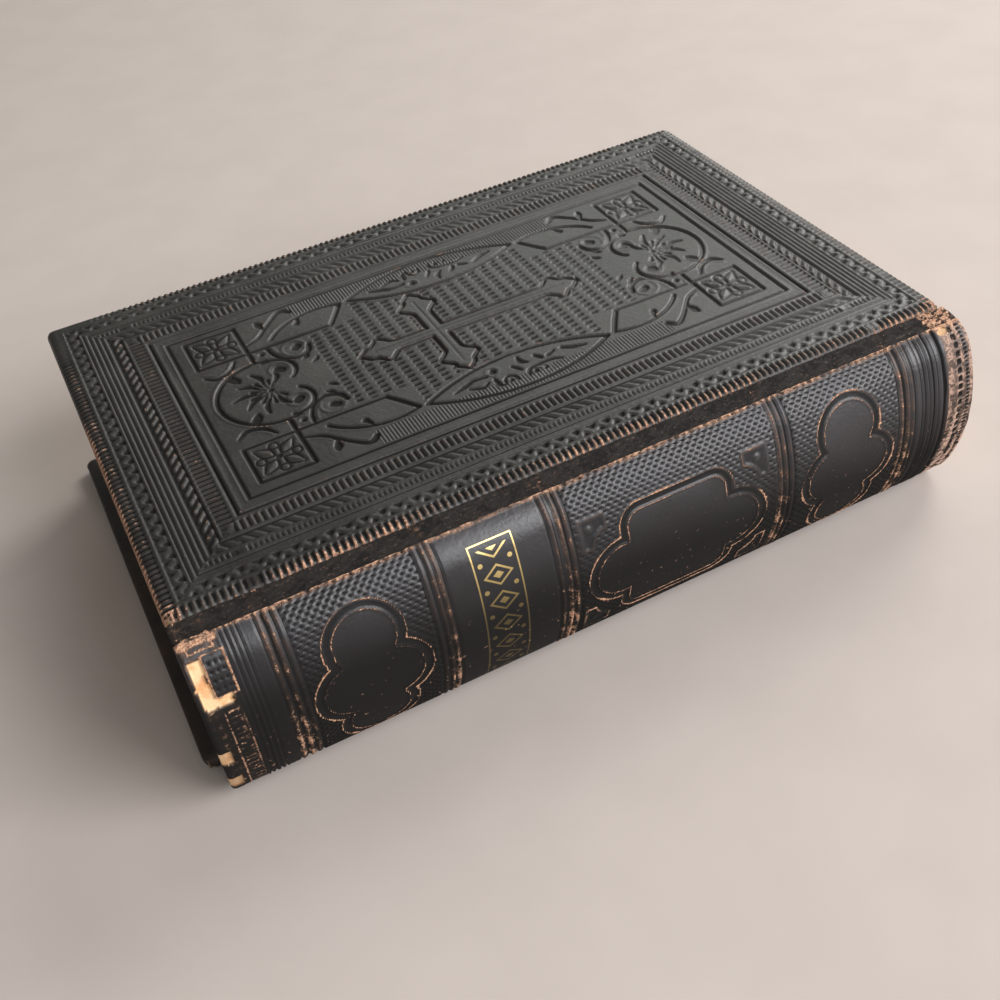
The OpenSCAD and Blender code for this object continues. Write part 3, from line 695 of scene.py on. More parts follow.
def cover_wear(x, y, drop, lower):
    """How rubbed the cover is: x and y from its middle."""
    spine = smooth(HALF_W - 2.6, HALF_W - 0.5, -y) * (0.4 + 0.35 * sway(x, y, 8, 34))
    head = smooth(HALF_L - 1.3, HALF_L - 0.4, -x) * smooth(28, 4, y)
    head = head * (0.8 + 0.2 * sway(x, y, 9, 16))
    other = smooth(HALF_L - 0.5, HALF_L, x) * 0.5 + smooth(HALF_W - 0.4, HALF_W, y) * 0.35
    tips = 0
    for sx in (1, -1):
        for sy in (1, -1):
            away = np.hypot(x - sx * HALF_L, y - sy * HALF_W)
            tips = np.maximum(tips, smooth(7, 2, away) * (0.7 if sy < 0 else 0.3))
    worn = np.maximum.reduce([spine, head, other, tips]) * (0.45 if lower else 1)
    return np.clip(worn + 0.09 * smooth(1.5, 3.0, drop) + 0.07, 0, 1)


def worn_smooth(x, y):
    """Where the outer ribs have been handled away."""
    far_corner = smooth(24, 8, np.hypot(x + HALF_L, y - HALF_W))
    return np.maximum(far_corner, 0.35 * smooth(14, 4, np.hypot(x - HALF_L, y - HALF_W)))


def border_side(half, other_half, lines, other_lines, cell, place):
    """One mitred side. place turns (along, outward) into plan x and y from the cover's middle."""
    flat = row_offsets()
    t, drop, lean = np.array([(offset, 0, 0) for offset in flat] + edge_profile()).T
    rows = len(t)
    edge = len(flat) + 1
    mitre = len(flat) + 4
    count = round(2 * half / cell)
    straight = np.linspace(-half, half, count + 1)
    s = np.concatenate([-half - t[mitre - 1:0:-1], straight, half + t[1:mitre]])
    ss, tt = np.meshgrid(s, t, indexing="ij")
    kk = np.arange(rows)[None, :]
    last = kk >= mitre - 1
    reach = half + t[mitre - 1]
    ss = np.where(last, ss * (half + tt) / reach, ss)
    climb = np.arange(1, mitre)
    level = np.concatenate([climb[::-1], np.zeros(count + 1, int), climb])
    seam = (level[:, None] == kk) | ((level[:, None] == mitre - 1) & last)
    h = lines(ss, tt)
    mate = other_lines(other_half + tt, tt)
    own = lines(half + tt, tt)
    h = np.where(seam & (level[:, None] > 0), np.minimum(mate, own), h)
    x, y = place(ss, tt)
    fade = worn_smooth(x, y) * smooth(17.5, 19.0, tt)
    h = h * (1 - fade) + 0.12 * fade
    h = np.where(kk == 0, 0.6, h)
    h = h * np.where(kk < edge, 1.0, 0.6 * (kk == edge)) + 0.03 * (kk > edge)
    t_in = tt - h * np.sin(lean[None, :]) * (kk < mitre + 1)
    z_in = drop[None, :] + h * np.cos(lean[None, :]) * (kk < mitre)
    x, y = place(ss, t_in)
    x, y = round_corner(x, y)
    points = np.stack([x, y, z_in], -1)
    a = grid_faces(len(s), rows)
    need = np.maximum(level[:-1, None], level[1:, None])
    low = np.minimum(level[:-1, None], level[1:, None])
    k = np.arange(rows - 1)[None, :]
    whole = (k >= need).ravel()
    part = ((k + 1 >= need) & (k >= low)).ravel() & ~whole
    faces = a[whole].tolist()
    rising = (level[1:, None] > level[:-1, None]) + np.zeros((1, rows - 1), int)
    for (p, q, r, w), up in zip(a[part].tolist(), rising.ravel()[part]):
        faces.append([p, r, w] if up else [q, r, w])
    return points, faces, h


def border(name, lines, cell, finish, body, node, lower):
    """The four mitred sides of a cover with its rounded edges and turn-ins."""
    long_side, short_side = lines
    sides = (
        (FRAME_X, FRAME_Y, long_side, short_side, lambda s, t: (s, FRAME_Y + t)),
        (FRAME_X, FRAME_Y, long_side, short_side, lambda s, t: (-s, -FRAME_Y - t)),
        (FRAME_Y, FRAME_X, short_side, long_side, lambda s, t: (FRAME_X + t, -s)),
        (FRAME_Y, FRAME_X, short_side, long_side, lambda s, t: (-FRAME_X - t, s)),
    )
    tables, faces, start = [], [], 0
    for half, other, mine, theirs, place in sides:
        points, side_faces, h = border_side(half, other, mine, theirs, cell, place)
        tables.append(np.dstack([points, soften(h, 2) - h, h]).reshape(-1, 5))
        faces += [[i + start for i in face] for face in side_faces]
        start += h.size
    table = np.concatenate(tables)
    used = np.zeros(len(table), bool)
    used[[i for face in faces for i in face]] = True
    # points that two sides share at a mitre become one
    near = np.round(table[:, :3], 3)
    _, first, back = np.unique(near, axis=0, return_index=True, return_inverse=True)
    back = back.ravel()
    live = used[first] | np.isin(np.arange(len(first)), back[used])
    number = np.cumsum(live) - 1
    faces = [[int(number[back[i]]) for i in face] for face in faces]
    faces = [face for face in faces if len(set(face)) == len(face)]
    x, y, drop, crest, depth = table[first[live]].T
    slip, z = 0.0, BOOK_T - drop
    if lower:
        slip, z = BACK_SLIP, drop
        faces = [face[::-1] for face in faces]
    found = marks(x, y, 0.0, crest, depth, cover_wear(x, y, drop, lower))
    points = np.stack([x - slip, COVER_Y + y, z], 1)
    skin(name, points, faces, found, finish, body, node)


def back_plate(finish):
    _, _, uu, vv, t = plate_grid(60, 32)
    h = np.where(t > -0.01, 0.6, 0.1 + 0.04 * (1 + sway(uu, vv, 11)))
    points = np.stack([uu - BACK_SLIP, COVER_Y + vv, h], -1).reshape(-1, 3)
    found = marks(uu, vv, 0.0, 0.0, h, 0.2 + 0.15 * sway(uu, vv, 12))
    faces = grid_faces(*h.shape)[:, ::-1].tolist()
    skin("back_cover_plate", points, faces, found, finish, "back_cover", "back_cover_leather")


# the spine: x along the book, s unrolled from the middle line, up positive

BAND_LINES = (-79.2, -77.3, -75.7, -46.0, -44.4, -43.0, -17.4, -15.4, -13.8,
              39.4, 40.9, 42.5, 73.8, 75.8, 77.1)
BEADED = (-77.3, -44.4, -15.4, 75.8)
FINE_LINES = (-87.2, -85.0, -83.9, -82.8, 80.3, 81.6, 82.8, 84.2, 85.3)
PANELS = ((-75.2, -46.6), (-13.2, 38.8), (43.2, 73.2))
QUATRES = (-61.4, 58.5)
QUATRE_UP = 11.3
QUATRE_SIDE = 4.2
LOBE_R = 7.9
LONG_X = 12.2
LONG_SIDE = 14.1
LONG_SIDE_R = 8.0
LONG_HALF = 13.6
LONG_TOP = 15.0
LONG_CORNER = 4.5
PATTERN_S = 25.7
PIT = 1.85
CRACK_X = 86.6
TITLE_X = -30.9
TITLE_S = 19.5
SPINE_ROWS = 499
SPINE_COLUMNS = 189
SPINE_EDGE = 0.8


def spine_shape():
    """Radius and angle of the middle arc and of the shoulders."""
    run = SPINE_R - BULGE + SPINE_FLAT
    shoulder = (SPINE_R**2 - run**2 - MID_Z**2) / (2 * (SPINE_R - MID_Z))
    turn = math.atan2(MID_Z - shoulder, run)
    return shoulder, turn


def spine_point(s):
    """Place across the book and outward direction at the unrolled height s."""
    shoulder, turn = spine_shape()
    arc_len = SPINE_R * turn
    shoulder_len = shoulder * (math.pi / 2 - turn)
    a = np.abs(s)
    first = a <= arc_len
    second = ~first & (a <= arc_len + shoulder_len)
    angle = np.where(first, a / SPINE_R, turn + (a - arc_len) / shoulder)
    angle = np.minimum(angle, math.pi / 2)
    cy = np.where(first, SPINE_R - BULGE, -SPINE_FLAT)
    cz = np.where(first, 0.0, MID_Z - shoulder)
    radius = np.where(first, SPINE_R, shoulder)
    y = cy - radius * np.cos(angle)
    z = cz + radius * np.sin(angle)
    y = y + np.where(first | second, 0.0, a - arc_len - shoulder_len)
    up = np.where(s < 0, -1.0, 1.0)
    return JOINT_Y + y, MID_Z + up * z, -np.cos(angle), up * np.sin(angle)


def spine_half():
    shoulder, turn = spine_shape()
    return SPINE_R * turn + shoulder * (math.pi / 2 - turn) + SPINE_FLAT - JOINT_GAP


def lobes(u, v, centre, half, top, corner, discs):
    """Signed distance to a lobed panel: a rounded block and some discs."""
    x = np.abs(u - centre)
    y = np.abs(v)
    away = np.full(np.broadcast(x, y).shape, 1e3)
    if half:
        bx = x - (half - corner)
        by = y - (top - corner)
        outside = np.hypot(np.maximum(bx, 0), np.maximum(by, 0))
        away = outside + np.minimum(np.maximum(bx, by), 0) - corner
    for dx, dy, r in discs:
        away = np.minimum(away, np.hypot(x - dx, y - dy) - r)
    return away


def lobed_distance(x, s):
    discs = ((0, QUATRE_UP, LOBE_R), (QUATRE_SIDE, 0, LOBE_R), (0, QUATRE_UP / 2, LOBE_R - 0.9))
    inside = [lobes(x, s, c, 0, 0, 0, discs) for c in QUATRES]
    side = ((LONG_SIDE, 0, LONG_SIDE_R),)
    inside.append(lobes(x, s, LONG_X, LONG_HALF, LONG_TOP, LONG_CORNER, side))
    return np.minimum.reduce(inside)


def corner_piece(px, py):
    """Depth inside one three-sided piece beside the long panel, below 0 outside."""
    edge = np.minimum(np.minimum(px - 17.4, 23.9 - px), np.minimum(py - 9.0, 16.6 - py))
    return np.minimum(edge, np.hypot(px - 16.2, py - 8.2) - 5.2)


def spine_heights(u, v):
    x = u[:, None]
    s = v[None, :]
    low = np.abs(s) < PATTERN_S
    h = np.full((len(u), len(v)), 0.12)
    away = lobed_distance(x, s)
    in_panel = np.zeros_like(h, bool)
    for a, b in PANELS:
        in_panel |= (x > a) & (x < b) & low
    pits = bars(x + PIT / 2 * (np.floor(s) % 2), PIT, 0.5, 0.3) * bars(s, 1.0, 0.52, 0.35)
    h = np.where(in_panel & (away > 1.45), 0.06 + 0.46 * pits, h)
    h = np.where(in_panel & (away < -1.45), 0.22 + 0.04 * pits, h)
    near = in_panel & (np.abs(away) <= 1.45)
    h = np.where(near, 0.4 - 0.48 * bell(np.abs(away), 1.05, 0.22, 0.25), h)
    # corner pieces of the long panel
    for side in (1, -1):
        px = side * (x - LONG_X)
        py = np.abs(s)
        edge = corner_piece(px, py)
        h = np.where(edge > -0.2, -0.04 + 0.4 * smooth(0.4, 0.9, edge), h)
        h = np.where(np.hypot(px - 21.4, py - 13.9) < 0.8, 0.05, h)
    # raised lines round the spine
    for line in BAND_LINES:
        near = np.abs(x - line) < 0.95
        top = -0.28 * bell(x, line, 0.34, 0.3)
        if line in BEADED:
            top = top * (0.35 + 0.65 * bars(s, 1.0, 0.6, 0.4))
        h = np.where(near & low, 0.46 * (1 - bell(x, line, 0.4, 0.3)) + top, h)
    for line in FINE_LINES:
        near = np.abs(x - line) < 0.6
        h = np.where(near & low, 0.48 - 0.7 * bell(x, line, 0.24, 0.25), h)
    # cap lines at the tail and the crack
    h = np.maximum(h, 0.8 * bell(x + 0.15 * sway(x * 0, s, 21, 14), CRACK_X, 0.45, 0.2) * low)
    h = h + 0.42 * tail_dashes(x, s) * low
    rough = np.maximum(smooth(-86.9, -88.5, x), smooth(86.9, 88.0, x))
    h = h + 0.18 * rough * (0.5 + 0.5 * sway(x, s, 22, 4.5))
    # the ruled square beside the break, with its small pits
    square = ruled_square(x, s)
    pits = bars(x + 0.4, 1.3, 0.4, 0.2) * bars(s, 1.9, 0.4, 0.2)
    h = np.where(square, 0.16 + 0.4 * pits, h)
    # strip over each joint
    strip = smooth(PATTERN_S - 0.1, PATTERN_S + 0.5, np.abs(s))
    groove = 0.5 * (1 - ((np.abs(s) - 28.6) / 2.6) ** 2).clip(0, 1)
    rag = 0.14 * (1 + sway(x, s, 23, 3.2)) + 0.13 * (1 + sway(x, s, 24, 1.6))
    h = h * (1 - strip) + strip * (0.2 + groove + rag)
    lips = bars(x + sway(x, s, 25, 9), 4.0, 0.7, 0.3)
    return h - 0.16 * bell(np.abs(s), PATTERN_S, 0.4, 0.3) * lips


def ruled_square(x, s):
    return (x > -91.4) & (x < -87.6) & (s > 12.8) & (s < 21.5)


def head_rubs(x, s):
    """Tan lines and dashes left by the ruling round the broken head."""
    box = np.maximum(np.abs(x + 89.5) - 1.9, np.abs(s - 17.2) - 4.4)
    rim = bell(box, 0.35, 0.3, 0.2)
    low = smooth(9.5, 8.5, s)
    lines = np.maximum(bell(x, -91.2, 0.25, 0.3), bell(x, -88.0, 0.25, 0.3)) * low
    frame = np.maximum(np.abs(x + 91.2) - 2.6, np.abs(s - 24.6) - 1.7)
    loop = bell(frame, -0.1, 0.3, 0.25)
    dashes = bars(s + 0.3 * sway(x, s, 37, 4), 1.55, 0.35, 0.25) * bell(x, -89.6, 1.2, 0.3) * low
    top = bell(s, PATTERN_S - 0.9, 0.9, 0.5) * smooth(-86.4, -88, x)
    return np.maximum.reduce([0.95 * rim, lines, 0.85 * dashes, 0.95 * top, loop])


def tail_dashes(x, s):
    """Two columns of short dark dashes down the worn cap at the tail."""
    near = bars(s, 2.1, 0.62, 0.25) * bell(x, 91.3, 0.5, 0.25)
    return np.maximum(near, bars(s, 1.05, 0.5, 0.3) * bell(x, 93.5, 0.4, 0.25))


def tail_rubs(x, s):
    """The pinkish worn cap at the tail, with its tan rim."""
    cap = smooth(87.3, 87.9, x) * (0.72 + 0.13 * smooth(4, -16, s) - 0.6 * tail_dashes(x, s))
    rim = bell(x, 94.8, 0.8, 0.4) * smooth(4, -8, s)
    corner = smooth(85.5, 88, x) * smooth(24.4, 25.4, s)
    return np.maximum.reduce([cap, 0.98 * rim, 0.86 * corner])


def spine_torn(x, s):
    """Where the leather is gone: the pale L at the head, and the smaller spots."""
    edge = 0.16 * sway(x, s, 31, 3.5)
    tall = (x < -92.0 + edge) & (x > -94.6 - edge) & (s > 10.6 + edge) & (s < 21.4 + edge)
    foot = (x < -88.6 + edge) & (x > -94.0) & (np.abs(s - 11.3) < 1.1 + edge)
    small = (x < -92.6 + edge) & (s > -18.2) & (s < -12.0 + edge)
    small |= (x < -93.0 + edge) & (np.abs(s + 3.6) < 2.1)
    small |= np.hypot((x - 89.4) / 1.5, (s - 24.4) / 0.9) < 1 + edge
    return (tall | foot) * 1.0, small * 1.0


def spine(finish):
    flat = np.linspace(-HALF_L + SPINE_EDGE, HALF_L - SPINE_EDGE, SPINE_ROWS)
    # the turned-in ends: depth under the skin and distance from the end
    under, back = np.array([(SPINE_INNER, SPINE_TURN), (SPINE_INNER, 0), (1.6, 0), (0.8, 0),
                            (0.24, 0.24)]).T
    half = spine_half()
    s = np.linspace(-half, half, SPINE_COLUMNS)
    s = np.concatenate([[-half] * 2, s, [half] * 2])
    tuck = np.zeros(len(s))
    tuck[[0, -1]] = 1.0
    tuck[[1, -2]] = 0.45
    x = np.concatenate([back - HALF_L, flat, HALF_L - back[::-1]])
    inset = np.concatenate([under, np.zeros(SPINE_ROWS), under[::-1]])[:, None]
    surface = spine_heights(np.clip(x, -HALF_L + 0.4, HALF_L - 0.4), s)
    xx, ss = np.meshgrid(x, s, indexing="ij")
    pale, small = spine_torn(xx, ss)
    torn = np.maximum(pale, small * 0.8)
    h = surface + 0.75 * torn * (inset < 1.5)
    y, z, ny, nz = spine_point(ss)
    depth = h + inset + tuck[None, :] * (SPINE_SKIN - 0.1)
    depth = np.minimum(depth, np.maximum(SPINE_SKIN - 0.05, inset))
    points = np.stack([xx, y - ny * depth, z - nz * depth], -1).reshape(-1, 3)
    away = np.abs(ss)
    joint_edge = bell(away, PATTERN_S - 0.2, 0.8, 0.6) + 0.5 * bell(away, 31.0, 0.5, 0.4)
    joint_edge = joint_edge * (1 + 0.35 * sway(xx, ss, 36, 9))
    out = inset < 0.6
    ends = np.maximum(smooth(-86.8, -88.5, xx), smooth(86.6, 88.0, xx)) * out
    rubbed = (head_rubs(xx, ss) + tail_rubs(xx, ss)) * out
    bands = np.max([bell(xx, line, 0.9, 0.3) for line in BAND_LINES], 0)
    outline = lobed_distance(xx, ss)
    blotch = sway(xx, ss, 35, 12)
    rims = bell(outline, 1.1, 0.25 + 0.25 * blotch.clip(0, 1), 0.3)
    rims = rims + 0.78 * bell(outline, -1.05, 0.2, 0.25)
    for side in (1, -1):
        rims = rims + 1.3 * bell(corner_piece(side * (xx - LONG_X), away), 0.1, 0.25, 0.25)
    rims = rims.clip(0, 1.2) * (away < PATTERN_S)
    worn = np.maximum.reduce([
        rims * (0.5 + 0.24 * smooth(8, -14, ss) + 0.34 * blotch),
        0.2 + 0.12 * sway(xx, ss, 33, 24) + 0.1 * smooth(0, -16, ss),
        (0.42 + 0.18 * smooth(10, -12, ss) + 0.3 * sway(xx, ss, 39, 9)) * bands,
        0.68 * joint_edge.clip(0, 1),
        ends * (0.44 + 0.3 * sway(xx, ss, 34, 5)) * (1 - 0.7 * ruled_square(xx, ss)),
        rubbed * (1 + 0.25 * sway(xx, ss, 38, 3)),
    ])
    brown = smooth(PATTERN_S - 0.2, PATTERN_S + 0.8, away)
    field = (away < PATTERN_S) & (outline > 1.9)
    crest = (soften(h, 2) - h) * (1 - 0.7 * field)
    found = marks(xx, ss, brown, crest, h, worn.clip(0, 1), torn)
    faces = grid_faces(len(x), len(s)).tolist()
    skin("spine_skin", points, faces, found, finish, "book_block", "spine_leather")


# finishes

def leather(name, dark, sheen, spine_part):
    """Black leather, brown where scuffed, tan where rubbed through, pale where torn."""
    f = Finish(name, Specular_IOR_Level=0.72, IOR=1.5)
    where = f.attribute("plate", "Vector")
    x, y, extra = f.apart(where)
    crest, depth, worn, torn = [f.attribute(name) for name in MARKS]
    broad = f.noise(where, 0.06, 3.0)
    patch = f.noise(where, 0.35, 5.0, 0.6)
    fine = f.noise(where, 1.7, 4.0, 0.65)
    scratch = f.noise(f.stretch(where, (0.25, 2.2, 1.0)), 0.8, 5.0, 0.7)
    chance = patch * 0.45 + fine * 0.35 + scratch * 0.2
    loops = (1 - abs(patch - 0.5).step(0.012, 0.04)) * worn.step(0.5, 0.85)
    rub = (worn * 0.62 + crest * 1.5 + chance * 1.1).step(0.98, 1.16).most(loops)
    if spine_part:
        flecks = f.noise(where, 0.75, 3.0, 0.6).step(0.66, 0.7) * (1 - y.step(-14, 14))
        rub = rub.most(flecks * 0.85)
    scuff = (worn * 0.7 + crest * 1.2 + chance).step(0.72, 1.02)
    colour = f.mix(broad.step(0.35, 0.7), dark, sheen)
    if spine_part:
        flakes = extra * (scratch * 0.4 + fine * 0.6).step(0.52, 0.66)
        colour = f.mix(extra * 0.9, colour, (0.016, 0.009, 0.0063))
        colour = f.mix(flakes * 0.8, colour, (0.09, 0.041, 0.025))
    colour = f.mix(scuff * 0.8, colour, (0.08, 0.04, 0.023))
    tans = ((0.35, 0.175, 0.105), (0.66, 0.38, 0.245))
    if spine_part:
        tans = ((0.35, 0.165, 0.095), (0.72, 0.43, 0.265))
    tan = f.mix(fine.step(0.4, 0.62), *tans)
    if spine_part:
        tan = f.mix(x.step(86, 88) * (1 - y.step(24, 25)) * 0.75, tan, (0.56, 0.385, 0.305))
    colour = f.mix(rub * 0.9, colour, tan)
    if spine_part:
        gilt = title_ornament(x, y) * (chance + 0.5 * fine).step(0.5, 0.6)
        colour = f.mix(gilt, colour, (0.95, 0.72, 0.3))
        f.feed("Metallic", gilt * 0.85)
    pale = f.mix(patch.step(0.35, 0.6), (0.8, 0.4, 0.17), (0.92, 0.62, 0.34))
    colour = f.mix(torn, colour, pale)
    f.feed("Base Color", colour)
    rough = broad * 0.16 + 0.36 + rub * 0.35 + scuff * 0.1 + torn * 0.3
    if spine_part:
        rough = rough + extra * 0.35
    f.feed("Roughness", rough.least(0.92))
    grain = f.cells(where, 1.15, "SMOOTH_F1") * 0.5 + fine * 0.5
    height = grain * 0.09 + patch * 0.08 + (fine * 0.12) * (rub + torn).least(1.0)
    if not spine_part:
        hatch = (x * (2 * math.pi / 0.85)).sine() * extra
        height = height + hatch * 0.06
    f.feed("Normal", f.bump(height, 1.0 * MM))
    # painted shade: pressed grooves and pits darkened by their depth, standing in for the shade in
    # them
    painted_shade_and_strip_dull = depth.step(0.26, 0.44)
    if spine_part:
        # painted shade: the spine darkened and dulled towards its lower side, where the light from
        # above falls off
        painted_side_shade = (1 - (y + x * 0.08).step(-2, 22)) * 0.88
        # the joint strip's own dull dark finish, with its flakes left out
        joint = (extra - flakes) * (0.62 + patch.step(0.4, 0.6) * 0.25)
        painted_shade_and_strip_dull = (painted_shade_and_strip_dull * 0.88).most(painted_side_shade) * (1 - extra) + joint
    else:
        # painted shade: the cover darker towards its near side, and the painted groove shade weaker
        # towards the far end, where the cover shows sheen
        far = x * 0.6 + y * 0.8
        painted_side_shade = (1 - far.step(-95, 10)) * 0.3
        painted_shade_and_strip_dull = (painted_shade_and_strip_dull * (0.9 - far.step(-45, 55) * 0.7)).most(painted_side_shade)
    # mixes in the dull dark colour of the painted shade, and of the joint strip
    f.paint_shade_and_dullness(painted_shade_and_strip_dull * (1 - rub.most(torn)), (0.008, 0.0076, 0.0068))
    return f


def title_ornament(x, s):
    """Gilt lozenges and dots between two lines, down the bare title panel."""
    pitch = 6.5
    u = abs(x - TITLE_X)
    v = abs((s / pitch + 0.5).part() - 0.5) * pitch
    limit = 1 - abs(s).step(TITLE_S, TITLE_S + 0.1)
    diamond = u / 3.7 + v / 2.75
    outline = diamond.step(0.72, 0.76) * (1 - diamond.step(0.92, 0.96))
    core = 1 - diamond.step(0.3, 0.36)
    side = ((u - 3.4) * (u - 3.4) + (v - pitch / 2) * (v - pitch / 2)).sum("SQRT")
    dots = 1 - side.step(0.5, 0.6)
    lines = (1 - abs(u - 4.9).step(0.14, 0.2)) * (1 - abs(s).step(TITLE_S + 1.4, TITLE_S + 1.5))
    ends = (1 - abs(abs(s) - (TITLE_S + 1.45)).step(0.14, 0.2)) * (1 - u.step(4.95, 5.05))
    return ((outline + core + dots) * limit + lines + ends).least(1.0)


def leaf_edges():
    """Dulled gilt over a stack of leaves."""
    f = Finish("gilt_leaf_edges", Specular_IOR_Level=0.4)
    place = f.place()
    fine = f.noise(f.stretch(place, (25, 25, 9000)), 1.0, 3.0, 0.7)
    stack = f.noise(f.stretch(place, (8, 8, 1400)), 1.0, 3.0, 0.6)
    dirt = f.noise(place, 90.0, 4.0)
    gold = f.mix(stack.step(0.35, 0.65), (0.55, 0.32, 0.12), (0.78, 0.5, 0.21))
    colour = f.mix(dirt.step(0.45, 0.7) * 0.6, gold, (0.42, 0.27, 0.15))
    f.feed("Base Color", colour)
    f.feed("Metallic", 0.55 - dirt * 0.3)
    f.feed("Roughness", fine * 0.3 + 0.33)
    f.feed("Normal", f.bump(fine * 0.08 + stack * 0.16, 1.0 * MM))
    return f


def paper(name, light, dark):
    f = Finish(name, Roughness=0.8, Specular_IOR_Level=0.25)
    place = f.place()
    broad = f.noise(place, 22.0, 3.0)
    fibre = f.noise(place, 900.0, 4.0, 0.7)
    spots = f.cells(place, 60.0).step(0.05, 0.16)
    colour = f.mix(broad.step(0.35, 0.7), light, dark)
    colour = f.mix((1 - spots) * 0.35, colour, (0.43, 0.27, 0.135))
    f.feed("Base Color", colour)
    f.feed("Normal", f.bump(fibre, 0.02 * MM))
    return f


def woven(name, warp, weft, count):
    """Thread or cloth, with two colours crossing."""
    f = Finish(name, Roughness=0.75, Specular_IOR_Level=0.3)
    place = f.place()
    x, _, z = f.apart(place)
    turns = (z * count).sine()
    cross_turns = (x * count).sine()
    shade = f.noise(place, 700.0, 3.0)
    colour = f.mix(turns.step(-0.3, 0.3), warp, weft)
    colour = f.mix(shade.step(0.45, 0.75) * 0.4, colour, (0.12, 0.08, 0.05))
    f.feed("Base Color", colour)
    f.feed("Normal", f.bump(abs(turns) + abs(cross_turns) * 0.4 + shade * 0.5, 0.12 * MM))
    return f


def board_finish(name, light, dark):
    f = Finish(name, Roughness=0.85, Specular_IOR_Level=0.2)
    place = f.place()
    fibre = f.noise(f.stretch(place, (300, 300, 2500)), 1.0, 4.0, 0.7)
    f.feed("Base Color", f.mix(fibre.step(0.35, 0.65), light, dark))
    f.feed("Normal", f.bump(fibre, 0.1 * MM))
    return f


def dress(finish, *nodes):
    for node in nodes:
        data = frame["nodes"][node].data
        data.materials.clear()
        data.materials.append(finish.material)


# studio

CAMERA_AT = (-93.61, -221.68, 209.92)
CAMERA_RIGHT = (0.88552, -0.45569, -0.09059)
CAMERA_DOWN = (-0.36818, -0.56935, -0.73504)
CAMERA_AHEAD = (0.28337, 0.68424, -0.67195)
FOCAL_PX = 1180.0
PICTURE_PX = 1000.0
SENSOR_MM = 36.0
FLOOR_HALF_M = 6.0
FLOOR_TONE = (0.53, 0.475, 0.437)


def camera():
    data = bpy.data.cameras.new("camera")
    data.sensor_width = SENSOR_MM
    data.lens = SENSOR_MM * FOCAL_PX / PICTURE_PX
    data.clip_start = 0.01
    made = add_object("camera", data)
    columns = [Vector(CAMERA_RIGHT), -Vector(CAMERA_DOWN), -Vector(CAMERA_AHEAD)]
    turn = Matrix(columns).transposed()
    made.matrix_world = Matrix.Translation(Vector(CAMERA_AT) * MM) @ turn.to_4x4()
    bpy.context.scene.camera = made


def floor():
    mesh = bpy.data.meshes.new("floor")
    r = FLOOR_HALF_M
    mesh.from_pydata([(-r, -r, 0), (r, -r, 0), (r, r, 0), (-r, r, 0)], [], [(0, 1, 2, 3)])
    f = Finish("floor", Roughness=0.9, Specular_IOR_Level=0.1)
    place = f.place()
    grain = f.noise(place, 40.0, 3.0)
    f.feed("Base Color", f.mix(grain.step(0.3, 0.7) * 0.25, FLOOR_TONE, (0.45, 0.4, 0.362)))
    mesh.materials.append(f.material)
    add_object("floor", mesh)


def lamp(name, azimuth, elevation, distance, size, power, colour):
    """A soft square lamp aimed at the book; azimuth runs from +X towards +Y."""
    a, e = math.radians(azimuth), math.radians(elevation)
    ray = Vector((math.cos(a) * math.cos(e), math.sin(a) * math.cos(e), math.sin(e)))
    data = bpy.data.lights.new(name, "AREA")
    data.shape = "SQUARE"
    data.size = size
    data.energy = power
    data.color = colour
    turn = ray.to_track_quat("Z", "Y").to_matrix().to_4x4()
    add_object(name, data).matrix_world = Matrix.Translation(ray * distance) @ turn


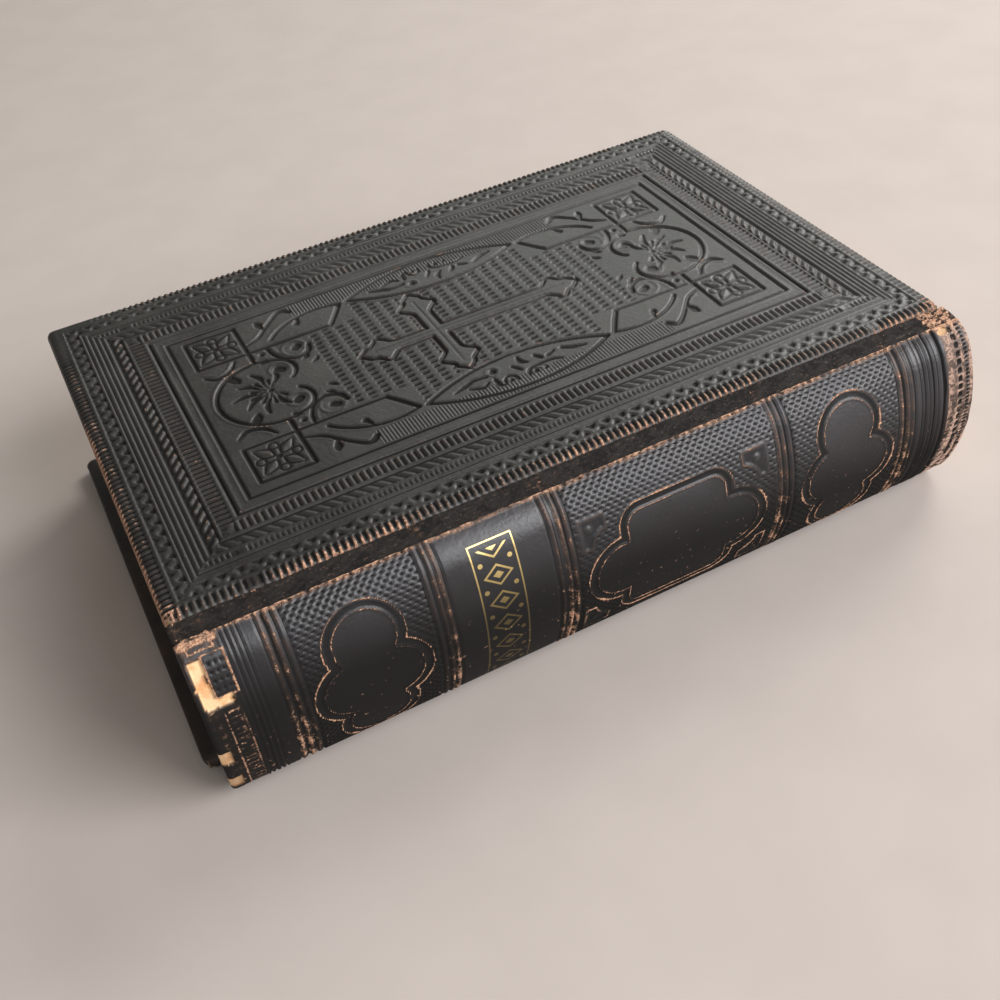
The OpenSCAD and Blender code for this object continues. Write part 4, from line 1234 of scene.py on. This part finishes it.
def world():
    made = bpy.data.worlds.new("studio")
    made.use_nodes = True
    tree = made.node_tree
    tree.nodes.clear()
    out = tree.nodes.new("ShaderNodeOutputWorld")
    mix = tree.nodes.new("ShaderNodeMixShader")
    dim = tree.nodes.new("ShaderNodeBackground")
    pale = tree.nodes.new("ShaderNodeBackground")
    rays = tree.nodes.new("ShaderNodeLightPath")
    dim.inputs[0].default_value = (1.0, 0.9, 0.82, 1.0)
    dim.inputs[1].default_value = 0.12
    pale.inputs[0].default_value = (0.62, 0.57, 0.52, 1.0)
    tree.links.new(rays.outputs["Is Camera Ray"], mix.inputs[0])
    tree.links.new(dim.outputs[0], mix.inputs[1])
    tree.links.new(pale.outputs[0], mix.inputs[2])
    tree.links.new(mix.outputs[0], out.inputs[0])
    bpy.context.scene.world = made


def studio():
    scene = bpy.context.scene
    scene.view_settings.view_transform = "Standard"
    camera()
    floor()
    world()
    lamp("window", 25, 36, 1.4, 0.6, 10.5, (1.0, 0.98, 0.95))
    lamp("far_sky", 62, 28, 2.0, 1.0, 5.0, (0.97, 1.0, 0.97))
    lamp("overhead", -140, 62, 2.6, 1.2, 3.3, (1.0, 0.95, 0.9))
    lamp("tail_sheen", -50, 36, 1.7, 1.1, 35.0, (0.99, 0.97, 0.98))
    lamp("head_sheen", -90, 36, 1.7, 0.6, 5.8, (0.88, 0.94, 1.0))


def main():
    studio()
    cover_black = leather("cover_leather", (0.02, 0.0195, 0.017), (0.034, 0.033, 0.029), False)
    spine_black = leather("spine_leather", (0.018, 0.017, 0.019), (0.029, 0.028, 0.0325), True)
    front_plate(cover_black)
    border("front_cover_border", (long_lines, short_lines), 0.4, cover_black, "front_cover",
           "front_cover_leather", False)
    back_plate(cover_black)
    border("back_cover_border", (plain_lines, plain_lines), 2.0, cover_black, "back_cover",
           "back_cover_leather", True)
    spine(spine_black)
    dress(leaf_edges(), "text_block")
    dress(paper("endpaper", (0.72, 0.6, 0.41), (0.58, 0.45, 0.29)), "front_flyleaf", "back_flyleaf")
    dress(paper("pastedown_paper", (0.68, 0.57, 0.39), (0.54, 0.41, 0.26)),
          "front_pastedown", "back_pastedown")
    dress(woven("head_band_thread", (0.36, 0.07, 0.05), (0.68, 0.58, 0.4), 3800.0),
          "head_band", "tail_band")
    dress(woven("lining_cloth", (0.55, 0.48, 0.34), (0.48, 0.4, 0.27), 9000.0), "spine_lining")
    dress(woven("sewing_cord", (0.5, 0.42, 0.28), (0.42, 0.34, 0.2), 5000.0),
          "head_cord", "middle_cord", "tail_cord")
    dress(board_finish("board_grey", (0.3, 0.22, 0.13), (0.2, 0.14, 0.08)),
          "front_board", "back_board")
    dress(board_finish("spine_card", (0.7, 0.46, 0.26), (0.55, 0.33, 0.17)), "spine_card")


main()
